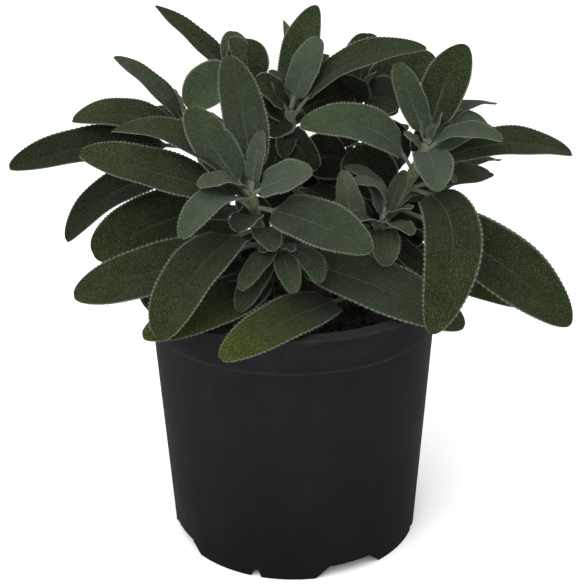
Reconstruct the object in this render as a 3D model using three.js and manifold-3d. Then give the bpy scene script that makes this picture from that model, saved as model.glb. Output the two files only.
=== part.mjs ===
// Potted sage: a round 12 cm nursery pot, the compost in it, and four leafy stems rooted in the compost.
// Millimetres, +Z up. The origin is on the pot's axis, on the surface that its feet stand on.
// The front of the plant faces -Y, and its right side is +X.
import * as THREE from "three";
import { mergeVertices } from "three/addons/utils/BufferGeometryUtils.js";
import Module from "manifold-3d";

const wasm = await Module();
wasm.setup();

// The pot
const POT_HEIGHT = 105;
const POT_WALL = 2;
const POT_SIDES = 60;
const FOOT_RADIUS = 49.8;
const LIP_RADIUS = 60;
const LIP_THICKNESS = 2;
const LIP_OVERHANG = 3.4;
const RING_HEIGHT = 89.7;
const RING_RADIUS = 55.1;
const RING_STEP = 0.6;
const FLOOR_HEIGHT = 5.5;
const DRAIN_HOLES = 6;
const DRAIN_RADIUS = 4;
const DRAIN_CIRCLE = 30;

// The foot's notches: a wide one each quarter turn, and a narrow one in the middle of each foot
const NOTCH_TURN = -25;
const NOTCH_WIDTH = 23.4;
const NOTCH_HEIGHT = 4.8;
const NOTCH_SLOPE = 6;
const SLIT_TURN = 17.8;
const SLIT_WIDTH = 3.2;
const SLIT_HEIGHT = 3.1;
const SLIT_SLOPE = 1;

// The compost
const COMPOST_TOP = 90;
const COMPOST_DOME = 2.5;
const COMPOST_SIDES = 36;
const CLEARANCE = 0.3;
const STEM_HOLE_RADIUS = 3.6;

// The stems are square, as a sage's are, and each is a cubic curve from its foot in the compost
const FOOT_OF_STEM = 76;
const STEM_WIDTH = 3.2;
const SHOOT_WIDTH = 2.6;
const STEM_STEPS = 9;

// The leaves: shares are of the leaf's length or of its blade's
const STALK_SHARE = 0.17;
const STALK_WIDTH = 2;
const STALK_THICKNESS = 1.5;
const BLADE_THICKNESS = 0.8;
const RIB_THICKNESS = 1.2;
const BLADE_FOLD = 0.2;
const BLADE_FULLNESS = 0.42;
const BLADE_SKEW = 0.92;
const TIP_WIDTH_SHARE = 0.25;
const EDGE_WAVE = 0.35;
const EDGE_SCALLOP = 0.03;
const LARGE_BLADE = [0.03, 0.15, 0.36, 0.6, 0.83, 1];
const SMALL_BLADE = [0.04, 0.3, 0.72, 1];
const LARGE_WIDTH = 20.5;

const MERGE_DISTANCE = 1e-3;
const SMALLEST_EDGE = 0.15;

// Each shoot has the four points of its curve and its leaves, one leaf a row: place along the shoot,
// tip's x, y and z, blade's width, arch, sweep, roll in degrees and, where the leaf bends nearer to
// one of its ends, the bend's place along it.
const LEAFY_STEMS = [
  {
    name: "front_left_leafy_stem",
    shoots: [
      {
        width: STEM_WIDTH,
        path: [[-8, -4, FOOT_OF_STEM], [-8, -4, 112], [-12, -18, 130], [-15, -26, 147]],
        leaves: [
          [0.97, -23, -6, 192, 17, -3, -6, 0],
          [0.97, -36, -16, 176, 16, 2, 3, -35],
          [1, -11, -18, 168, 7, 2, -1, 0],
          [0.97, -17, -10, 153, 8, 2, 0, 0],
          [1, -32, -40, 154, 11, 8, 0, -10],
          [0.85, -37, -56, 141, 13, 20, -3, -10],
          [1, 7, -34, 157, 15, 3, 0, 35],
          [0.9, 27, -48, 133, 20, 7, 0, 30],
          [0.93, -73, -32, 164, 22, 4, 2, -25],
          [0.93, -65, -8, 166, 19, 22, 0, -10],
          [0.72, -45, -62, 107, 24, 18, 0, 0],
          [0.6, -81, -24, 108, 22, 6, 3, -38],
          [0.42, -52, -56, 105.5, 20, 13, 19, -20],
          [0.8, -19, -38, 137, 11, 5, 0, 0],
          [0.72, -7, -41, 131, 10, 4, 0, 0],
          [0.9, -26, -28, 149, 11, 4, 0, -10],
          [0.55, -39, -8, 127, 15, 4, 0, -20],
          [0.5, 20, -4, 124, 14, 5, 0, 0],
          [0.4, -28, -30, 116, 18, 5, 0, -10],
        ],
      },
      {
        width: SHOOT_WIDTH,
        path: [[-9, -9, 117], [-8, -12, 121], [-6, -17, 124], [-5, -23, 127]],
        leaves: [
          [0.9, -18, -50, 120, 8, 5, 0, -10],
          [0.7, -19, -48, 111, 10, 4, 0, -10],
          [0.9, 0, -46, 117, 9, 4, 0, 0],
          [0.9, 9, -42, 119, 9, 4, 7, 10],
          [0.7, 12, -30, 119, 10, 3, 0, 10],
          [1, -11, -34, 128, 5, 1, 0, 0],
          [1, 0, -33, 128, 5, 1, 0, 0],
          [0.3, 61, -42, 102, 22, 12, -3, 32],
        ],
      },
    ],
  },
  {
    name: "right_leafy_stem",
    shoots: [
      {
        width: STEM_WIDTH,
        path: [[21, 3, FOOT_OF_STEM], [21, 3, 112], [38, -2, 128], [51, 5, 156]],
        leaves: [
          [1, 39, 10, 186, 11, 2, 0, -50],
          [1, 66, 18, 191, 17, 3, 4, 35],
          [1, 56, 8, 168, 5, 1, 0, 0],
          [1, 50, 8, 168, 5, 1, 0, 0],
          [0.97, 77, -8, 161, 12, 12, 0, 15],
          [0.97, 42, 4, 161, 6, 2, 0, -20],
          [0.97, 52, -22, 146, 14.5, 10, 0, 0],
          [0.88, 107, 10, 151, 17, 18, 0, 25],
          [0.8, 78, 20, 141, 14, 6, -5, 20],
          [0.93, 81, 34, 165, 11, 18, 0, 0, 0.4],
          [0.9, 77, 26, 159, 13, 20, 0, 35],
          [0.95, 61, -4, 144, 7, 3, 0, 0],
          [0.7, 102.5, -28, 96, 25, 16, 3, 42],
          [0.45, 87, -10, 97.5, 19, 13, -3, 30],
          [0.8, 47.5, -56, 105.5, 21, 18, 24, 0, 0.3],
          [0.88, 3, -2, 166, 19, 23.5, 0, -35, 0.5],
          [0.2, -24, -74, 105, 18, 20, 7, -24, 0.7],
          [0.85, 70, 50, 161, 16, 8, 0, 0],
          [0.65, 86, 48, 138, 18, 14, 0, 0],
          [0.35, 52, 14, 129, 18, 4, 0, 40],
          [0.45, 69, 60, 124, 18, 14, 0, 0],
          [0.72, 22, 12, 152, 20, 4, 0, -50],
          [0.5, 26, 12, 139, 14, 4, 0, -40],
        ],
      },
      {
        width: SHOOT_WIDTH,
        path: [[25, 1, 114], [27, -2, 120], [32, -8, 125], [34, -14, 132]],
        leaves: [
          [1, 21, -12, 147, 8, 13, -5, 0],
          [0.9, 20, 4, 148.5, 8, 12, -4, 0],
          [1, 31, -6, 145, 7, 2, 0, 0],
          [1, 42, -4, 149, 6, 2, 0, 20],
          [0.9, 19, -32, 139, 10, 4, 0, -10],
          [0.9, 33, -36, 123, 11, 5, 0, 0],
          [1, 43, -22, 140, 8, 3, 0, 0],
          [0.9, 42, -34, 134, 8, 5, 0, 0],
          [0.7, 48, -26, 114, 12, 5, 0, 0],
          [0.8, 15, -10, 138, 13, 4, 0, -20],
          [0.4, 19, -14, 152, 11, -8, 0, 15],
          [0.9, 51, 2, 119, 13, 4, 0, 0],
          [0.6, 49, 6, 123, 18, 4, 0, 50],
        ],
      },
    ],
  },
  {
    name: "back_leafy_stem",
    shoots: [
      {
        width: STEM_WIDTH,
        path: [[5, 22, FOOT_OF_STEM], [5, 22, 118], [1, 20, 140], [-1, 25, 165]],
        leaves: [
          [0.97, 10, 40, 203, 17, 2, 3, 0],
          [1, 11, 24, 193, 13, 2, 0, 58],
          [0.95, 51, 18, 190, 20, 19.5, 0, 20],
          [1, -3, 50, 196, 6, 3, -6, 0],
          [1, 14, 40, 184, 12, 4, 0, 0],
          [1, -14, 20, 178, 15, 3, 0, -40],
          [0.97, -8, 30, 180, 10, 2, 0, 0],
          [0.9, 10, 0, 149, 13, 8, 0, 60],
          [0.9, -3, 4, 152, 8, 4, 0, 0],
          [0.85, 6, 73, 160, 17, 12, 0, 0],
          [0.6, 24, 72, 122, 18, 16, 0, 0],
          [0.5, -12, 70, 116, 18, 14, 0, 0],
          [0.9, -9, 8, 139, 19, 6, 0, 0],
          [0.97, 24, 34, 170, 18, 6, 0, 45],
          [0.6, 17, 6, 129, 16, 6, 0, 0],
          [0.72, 22, 30, 145, 20, 6, 0, 55],
          [0.97, -11, 18, 158, 18, 5, 0, -30],
          [0.93, -13, 24, 173, 14, 4, 0, -40],
          [0.42, 16, 36, 133, 18, 4, 0, 40],
          [0.38, -11, 22, 134, 20, 4, 0, -50],
        ],
      },
      {
        width: SHOOT_WIDTH,
        path: [[5, 22, 112], [12, 32, 118], [24, 40, 135], [27, 42, 165]],
        leaves: [
          [1, 31, 58, 189, 16, 2, 0, 0],
          [1, 58, 44, 181, 20, 6, 0, 42],
          [0.9, 42, 30, 163, 14, 5, 0, 30],
          [1, 44, 30, 168, 17, 5, 0, 60],
          [1, 33, 38, 177, 9, 1, 0, 0],
          [0.95, 19, 30, 178, 17, 3, 0, 0],
          [0.8, 41, 16, 143, 15, 5, 0, 0],
          [0.8, 48, 70, 145, 16, 10, 0, 0],
          [0.75, 15, 18, 135, 18, 5, 0, 0],
          [0.6, 33, 24, 130, 17, 5, 0, 0],
          [0.88, 47, 38, 141, 20, 5, 0, 50],
          [1, 16, 40, 169, 14, 4, 0, -20],
          [0.35, 37, 34, 140, 18, 4, 0, 50],
          [0.9, 15, 36, 151, 20, 4, 0, -40],
        ],
      },
    ],
  },
  {
    name: "back_left_leafy_stem",
    shoots: [
      {
        width: STEM_WIDTH,
        path: [[-20, 18, FOOT_OF_STEM], [-20, 18, 115], [-32, 20, 135], [-41, 25, 163]],
        leaves: [
          [0.9, -69, 34, 185, 12, 8, 0, -12],
          [0.8, -85, 22, 163, 16, 23, 0, -32, 0.55],
          [1, -45, 24, 174, 7, 1, 0, 0],
          [0.85, -108, 8, 148, 20, 13, 0, -28],
          [0.7, -87, 0, 121, 20, 26, 0, -20, 0.55],
          [0.55, -75, -12, 120, 25, 17, 2, -45],
          [0.9, -66, 58, 156, 17, 10, 0, 0],
          [0.65, -76, 48, 128, 18, 14, 0, 0],
          [0.45, -46, 66, 116, 18, 14, 0, 0],
          [0.5, -43, 4, 123, 16, 4, 0, -20],
          [0.42, -37, 2, 129, 20, 4, 0, -50],
          [0.2, -7, 12, 114, 17, 4, 0, 50],
        ],
      },
      {
        width: SHOOT_WIDTH,
        path: [[-21, 18, 124], [-20, 22, 140], [-18, 26, 150], [-17, 30, 171]],
        leaves: [
          [1, -53, 44, 203, 15, 3, 0, -6],
          [0.97, -23, 48, 192, 13, 3, 3, 0],
          [1, -24, 34, 191, 15, 2, -6, 0],
          [1, -18, 42, 190, 17, 3, 0, 10],
          [0.95, -40, 18, 168, 21, 18, -5, -35],
          [0.9, -25, 16, 165, 8, 2, 0, 0],
          [0.8, -26, 8, 158, 9, 3, 0, 0],
          [0.85, -32, 70, 166, 16, 10, 0, 0],
          [0.5, -33, 5, 167, 14, 4, 0, -45],
          [0.1, -33, 2, 125, 16, 5, 0, 0],
          [0.2, -12, 4, 122, 14, 5, 0, 0],
        ],
      },
    ],
  },
];

// A closed mesh as a solid for adding and cutting.
function solidFrom(geometry) {
  const bare = geometry.clone();
  bare.deleteAttribute("normal");
  bare.deleteAttribute("uv");
  const merged = mergeVertices(bare, MERGE_DISTANCE);
  const mesh = new wasm.Mesh({
    numProp: 3,
    vertProperties: new Float32Array(merged.attributes.position.array),
    triVerts: new Uint32Array(merged.index.array),
  });
  return new wasm.Manifold(mesh);
}

function geometryFrom(solid) {
  const mesh = solid.getMesh();
  const geometry = new THREE.BufferGeometry();
  geometry.setAttribute("position", new THREE.BufferAttribute(mesh.vertProperties, 3));
  geometry.setIndex(new THREE.BufferAttribute(mesh.triVerts, 1));
  geometry.computeVertexNormals();
  return geometry;
}

// A profile of [radius, height] points turned about +Z.
function turned(profile, sides) {
  const points = profile.map(([radius, height]) => new THREE.Vector2(radius, height));
  return solidFrom(new THREE.LatheGeometry(points, sides).rotateX(Math.PI / 2));
}

function roundBar(radius, length, x, y, middle, sides) {
  const bar = new THREE.CylinderGeometry(radius, radius, length, sides).rotateX(Math.PI / 2);
  return solidFrom(bar.translate(x, y, middle));
}

// The outside of the pot's wall widens evenly from the foot to the lip.
function wallRadius(height) {
  const top = LIP_RADIUS - LIP_OVERHANG;
  return FOOT_RADIUS + (top - FOOT_RADIUS) * (height / POT_HEIGHT);
}

// A flat-topped wedge across the foot's wall, turned about the axis from the front towards the left.
function footCutter(width, height, slope, turn) {
  const shape = new THREE.Shape([
    new THREE.Vector2(-width / 2 - slope, -1),
    new THREE.Vector2(width / 2 + slope, -1),
    new THREE.Vector2(width / 2, height),
    new THREE.Vector2(-width / 2, height),
  ]);
  const depth = 4 * POT_WALL + NOTCH_HEIGHT;
  const cutter = new THREE.ExtrudeGeometry(shape, { depth, bevelEnabled: false });
  cutter.rotateX(Math.PI / 2).translate(0, depth / 2 - FOOT_RADIUS, 0);
  return solidFrom(cutter.rotateZ(THREE.MathUtils.degToRad(-turn)));
}

function potSolid() {
  const lipUnder = POT_HEIGHT - LIP_THICKNESS;
  const floorTop = FLOOR_HEIGHT + POT_WALL;
  const shell = turned(
    [
      [0, FLOOR_HEIGHT],
      [FOOT_RADIUS - POT_WALL, FLOOR_HEIGHT],
      [FOOT_RADIUS - POT_WALL, 0],
      [FOOT_RADIUS, 0],
      [RING_RADIUS, RING_HEIGHT],
      [RING_RADIUS + RING_STEP, RING_HEIGHT + RING_STEP],
      [wallRadius(lipUnder), lipUnder],
      [LIP_RADIUS, lipUnder],
      [LIP_RADIUS, POT_HEIGHT],
      [wallRadius(POT_HEIGHT) - POT_WALL, POT_HEIGHT],
      [wallRadius(floorTop) - POT_WALL, floorTop],
      [0, floorTop],
    ],
    POT_SIDES,
  );
  const cutters = [];
  for (let quarter = 0; quarter < 4; quarter++) {
    const turn = 90 * quarter;
    cutters.push(footCutter(NOTCH_WIDTH - NOTCH_SLOPE, NOTCH_HEIGHT, NOTCH_SLOPE, NOTCH_TURN + turn));
    cutters.push(footCutter(SLIT_WIDTH - SLIT_SLOPE, SLIT_HEIGHT, SLIT_SLOPE, SLIT_TURN + turn));
  }
  for (let hole = 0; hole < DRAIN_HOLES; hole++) {
    const angle = (2 * Math.PI * hole) / DRAIN_HOLES;
    const x = DRAIN_CIRCLE * Math.cos(angle);
    const y = DRAIN_CIRCLE * Math.sin(angle);
    cutters.push(roundBar(DRAIN_RADIUS, 4 * POT_WALL, x, y, FLOOR_HEIGHT, 12));
  }
  return shell.subtract(wasm.Manifold.union(cutters));
}

function compostSolid() {
  const bottom = FLOOR_HEIGHT + POT_WALL + CLEARANCE;
  const bottomRadius = wallRadius(bottom) - POT_WALL - CLEARANCE;
  const topRadius = wallRadius(COMPOST_TOP) - POT_WALL - CLEARANCE;
  const block = turned(
    [
      [0, bottom],
      [bottomRadius, bottom],
      [topRadius, COMPOST_TOP],
      [0.9 * topRadius, COMPOST_TOP + 0.5 * COMPOST_DOME],
      [0.5 * topRadius, COMPOST_TOP + COMPOST_DOME],
      [0, COMPOST_TOP + 0.8 * COMPOST_DOME],
    ],
    COMPOST_SIDES,
  );
  const holeLength = COMPOST_TOP - FOOT_OF_STEM + 4 * COMPOST_DOME;
  const holes = LEAFY_STEMS.map(({ shoots }) => {
    const [x, y, foot] = shoots[0].path[0];
    const middle = foot - CLEARANCE + holeLength / 2;
    return roundBar(STEM_HOLE_RADIUS, holeLength, x, y, middle, 12);
  });
  return block.subtract(wasm.Manifold.union(holes));
}

function curveOf(path) {
  return new THREE.CubicBezierCurve3(...path.map((point) => new THREE.Vector3(...point)));
}

function stemSolid({ path, width }) {
  const square = new THREE.Shape([
    new THREE.Vector2(-width / 2, -width / 2),
    new THREE.Vector2(width / 2, -width / 2),
    new THREE.Vector2(width / 2, width / 2),
    new THREE.Vector2(-width / 2, width / 2),
  ]);
  const options = { steps: STEM_STEPS, extrudePath: curveOf(path) };
  return solidFrom(new THREE.ExtrudeGeometry(square, options));
}

// Half of the blade's width, as a share of the widest, along the blade from 0 to 1.
function bladeShare(along) {
  const skewed = along ** BLADE_SKEW;
  return Math.max(TIP_WIDTH_SHARE, (4 * skewed * (1 - skewed)) ** BLADE_FULLNESS);
}

// The leaf's midrib is a quadratic curve from the shoot to the tip. Its upper face looks as far up as
// it can, then turns by roll about the line from base to tip; arch bows it up and sweep to its left.
function leafFrame(shootCurve, [place, x, y, z, , arch, sweep, roll, bend = 0.5]) {
  const base = shootCurve.getPoint(place);
  const tip = new THREE.Vector3(x, y, z);
  const chord = tip.clone().sub(base).normalize();
  const face = new THREE.Vector3(0, 0, 1).projectOnPlane(chord).normalize();
  face.applyAxisAngle(chord, THREE.MathUtils.degToRad(roll));
  const left = face.clone().cross(chord);
  const bow = base.clone().lerp(tip, bend);
  bow.addScaledVector(face, arch).addScaledVector(left, sweep);
  return { midrib: new THREE.QuadraticBezierCurve3(base, bow, tip), face };
}

// Six points round the leaf at one place: upper left edge, rib and right edge, then back underneath.
function leafSection({ midrib, face }, along, halfWidth, lift, edgeThickness, ribThickness) {
  const centre = midrib.getPoint(along);
  const forward = midrib.getTangent(along);
  const up = face.clone().projectOnPlane(forward).normalize();
  const left = up.clone().cross(forward);
  const at = (sideways, height) =>
    centre.clone().addScaledVector(left, sideways).addScaledVector(up, height);
  return [
    at(halfWidth, lift[0]),
    at(0, 0),
    at(-halfWidth, lift[1]),
    at(-halfWidth, lift[1] - edgeThickness),
    at(0, -ribThickness),
    at(halfWidth, lift[0] - edgeThickness),
  ];
}

function leafSolid(shootCurve, leaf) {
  const frame = leafFrame(shootCurve, leaf);
  const width = leaf[4];
  const stations = width >= LARGE_WIDTH ? LARGE_BLADE : SMALL_BLADE;
  const sections = [0, 0.8 * STALK_SHARE].map((along) =>
    leafSection(frame, along, STALK_WIDTH / 2, [0, 0], STALK_THICKNESS, STALK_THICKNESS),
  );
  stations.forEach((along, index) => {
    const turn = index % 2 ? 1 : -1;
    const halfWidth = (width / 2) * bladeShare(along) * (1 + EDGE_SCALLOP * turn);
    const fold = BLADE_FOLD * halfWidth;
    const wave = EDGE_WAVE * turn * Math.sin(Math.PI * along);
    const place = STALK_SHARE + (1 - STALK_SHARE) * along;
    const lift = [fold + wave, fold - wave];
    sections.push(leafSection(frame, place, halfWidth, lift, BLADE_THICKNESS, RIB_THICKNESS));
  });
  const corners = sections[0].length;
  const positions = sections.flat().flatMap((point) => point.toArray());
  const faces = [];
  for (let ring = 0; ring + 1 < sections.length; ring++) {
    for (let corner = 0; corner < corners; corner++) {
      const a = ring * corners + corner;
      const b = ring * corners + ((corner + 1) % corners);
      const c = b + corners;
      const d = a + corners;
      const underneath = corner >= corners / 2;
      faces.push(...(underneath ? [a, b, d, b, c, d] : [a, b, c, a, c, d]));
    }
  }
  const last = positions.length / 3 - corners;
  const cap = [[0, 1, 5], [1, 4, 5], [1, 2, 4], [2, 3, 4]];
  cap.forEach(([a, b, c]) => faces.push(c, b, a, last + a, last + b, last + c));
  const geometry = new THREE.BufferGeometry();
  geometry.setAttribute("position", new THREE.Float32BufferAttribute(positions, 3));
  geometry.setIndex(faces);
  return solidFrom(geometry);
}

// A leafy stem's stems and leaves grown together in one solid. Only its outer skin is kept, so that
// no pocket stays sealed where leaves crowd together at a crown.
function leafyStemSolid({ shoots }) {
  const pieces = shoots.flatMap((shoot) => {
    const curve = curveOf(shoot.path);
    return [stemSolid(shoot), ...shoot.leaves.map((leaf) => leafSolid(curve, leaf))];
  });
  const skins = wasm.Manifold.union(pieces).simplify(SMALLEST_EDGE).decompose();
  return skins.reduce((outer, skin) => (skin.volume() > outer.volume() ? skin : outer));
}

function namedMesh(name, solid, color, roughness) {
  const material = new THREE.MeshStandardMaterial({ color, roughness, metalness: 0 });
  const mesh = new THREE.Mesh(geometryFrom(solid), material);
  mesh.name = name;
  return mesh;
}

const group = new THREE.Group();
group.add(namedMesh("pot", potSolid(), 0x17191b, 0.55));
group.add(namedMesh("compost", compostSolid(), 0x1d1712, 0.95));
LEAFY_STEMS.forEach((stem) => {
  group.add(namedMesh(stem.name, leafyStemSolid(stem), 0x35452c, 0.8));
});

export default group;
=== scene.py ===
"""Potted sage: the looks of a young sage plant in a round nursery pot.

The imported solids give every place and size, in metres with +Z up. The pot, the compost and the four
leafy stems are modelled again here in full detail, and each new piece stands for its solid.
The lengths in this file are millimetres unless a name says otherwise, and become metres in the meshes.
"""

import logging
import math
from dataclasses import dataclass
from enum import Enum
from itertools import count
from typing import Callable, Iterator, Sequence

import bpy
import numpy as np
from mathutils import Matrix, Vector, noise

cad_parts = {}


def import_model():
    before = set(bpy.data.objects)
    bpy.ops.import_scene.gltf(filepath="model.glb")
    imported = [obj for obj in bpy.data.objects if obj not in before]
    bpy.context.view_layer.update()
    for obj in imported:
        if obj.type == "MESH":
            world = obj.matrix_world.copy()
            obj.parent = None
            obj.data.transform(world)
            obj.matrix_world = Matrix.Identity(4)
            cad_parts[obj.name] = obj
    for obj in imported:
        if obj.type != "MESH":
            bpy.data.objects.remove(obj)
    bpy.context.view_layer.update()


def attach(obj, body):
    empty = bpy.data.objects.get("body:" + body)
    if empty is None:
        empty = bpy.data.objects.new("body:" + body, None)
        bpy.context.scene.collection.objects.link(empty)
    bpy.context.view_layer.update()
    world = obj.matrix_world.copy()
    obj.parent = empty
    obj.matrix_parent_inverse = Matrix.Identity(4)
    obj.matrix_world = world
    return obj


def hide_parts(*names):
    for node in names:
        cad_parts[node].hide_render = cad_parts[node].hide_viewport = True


Point = tuple[float, float, float]
Colour = tuple[float, float, float]
Array = np.ndarray
Piece = bpy.types.Object
Mesh = bpy.types.Mesh
Material = bpy.types.Material
NodeTree = bpy.types.NodeTree
Socket = bpy.types.NodeSocket
Value = float | Socket
Shade = Colour | Socket

MM = 0.001
MERGE_DISTANCE = 1e-6  # metres
SEED = 20
SURFACE_MAP = "surface"
PLACE_ATTRIBUTE = "leaf_place"
MOOD_ATTRIBUTE = "leaf_mood"
# Painted shade for shaded leaves, which darkens them below the range of brightness from leaf to leaf.
PAINTED_SHADE_DIM = 2.3  # how far a shaded leaf lies below the range of brightness from leaf to leaf

# The pot, as in its solid
POT_HEIGHT = 105.0
POT_WALL = 2.0
FOOT_RADIUS = 49.8
LIP_RADIUS = 60.0
LIP_THICKNESS = 2.0
LIP_OVERHANG = 3.4
RING_HEIGHT = 89.7
RING_RADIUS = 55.1
RING_STEP = 0.6
FLOOR_HEIGHT = 5.5
COMPOST_TOP = 90.0
COMPOST_DOME = 2.5

# The stems and leaves, as in their solids
STEM_WIDTH = 3.2
SHOOT_WIDTH = 2.6
STALK_SHARE = 0.17
BLADE_FOLD = 0.2
BLADE_FULLNESS = 0.42
BLADE_SKEW = 0.92
EDGE_WAVE = 0.35
WAVE_LENGTH = 0.47
WAVE_START = 0.36

# The widest leaf of each age, where a leaf's own plan doesn't say how old it is
YOUNG_WIDTH = 9.0
HALF_GROWN_WIDTH = 14.0


class LeafAge(Enum):
    """How old a leaf is, which sets its colour from silvery to dark, and to yellow at the tip.

    A shaded leaf is a grown one from the plant's inside or its outer edge, made duller and darker with
    painted shade.
    """

    YOUNG = "young"
    HALF_GROWN = "half_grown"
    GROWN = "grown"
    YELLOWING = "yellowing"
    SHADED = "shaded"


class LeafTip(Enum):
    """How a leaf narrows to its tip, as the power of its outline there."""

    ROUND = 0.43
    BLUNT = 0.5
    POINTED = 0.6
    SHARP = 0.85


class LeafSize(Enum):
    """The pattern that a leaf is copied from, as its least width and its number of teeth."""

    LARGE = (16.0, 44)
    MIDDLE = (10.0, 31)
    SMALL = (0.0, 20)

    @property
    def least_width(self) -> float:
        """The width from which a leaf is copied from this pattern."""
        return self.value[0]

    @property
    def teeth(self) -> int:
        """The number of teeth on each margin."""
        return self.value[1]


@dataclass(frozen=True)
class LeafPlan:
    """One leaf: where it leaves its shoot, its tip, its blade's width and how it bends and turns."""

    place: float
    tip: Point
    width: float
    arch: float
    sweep: float
    roll: float
    bend: float = 0.5
    age: LeafAge | None = None
    end: LeafTip = LeafTip.BLUNT


@dataclass(frozen=True)
class ShootPlan:
    """One shoot: its width, the four points of its curve and its leaves."""

    width: float
    path: tuple[Point, Point, Point, Point]
    leaves: tuple[LeafPlan, ...]


@dataclass(frozen=True)
class StemPlan:
    """One leafy stem that is rooted in the compost, with its side shoots."""

    name: str
    shoots: tuple[ShootPlan, ...]


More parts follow.
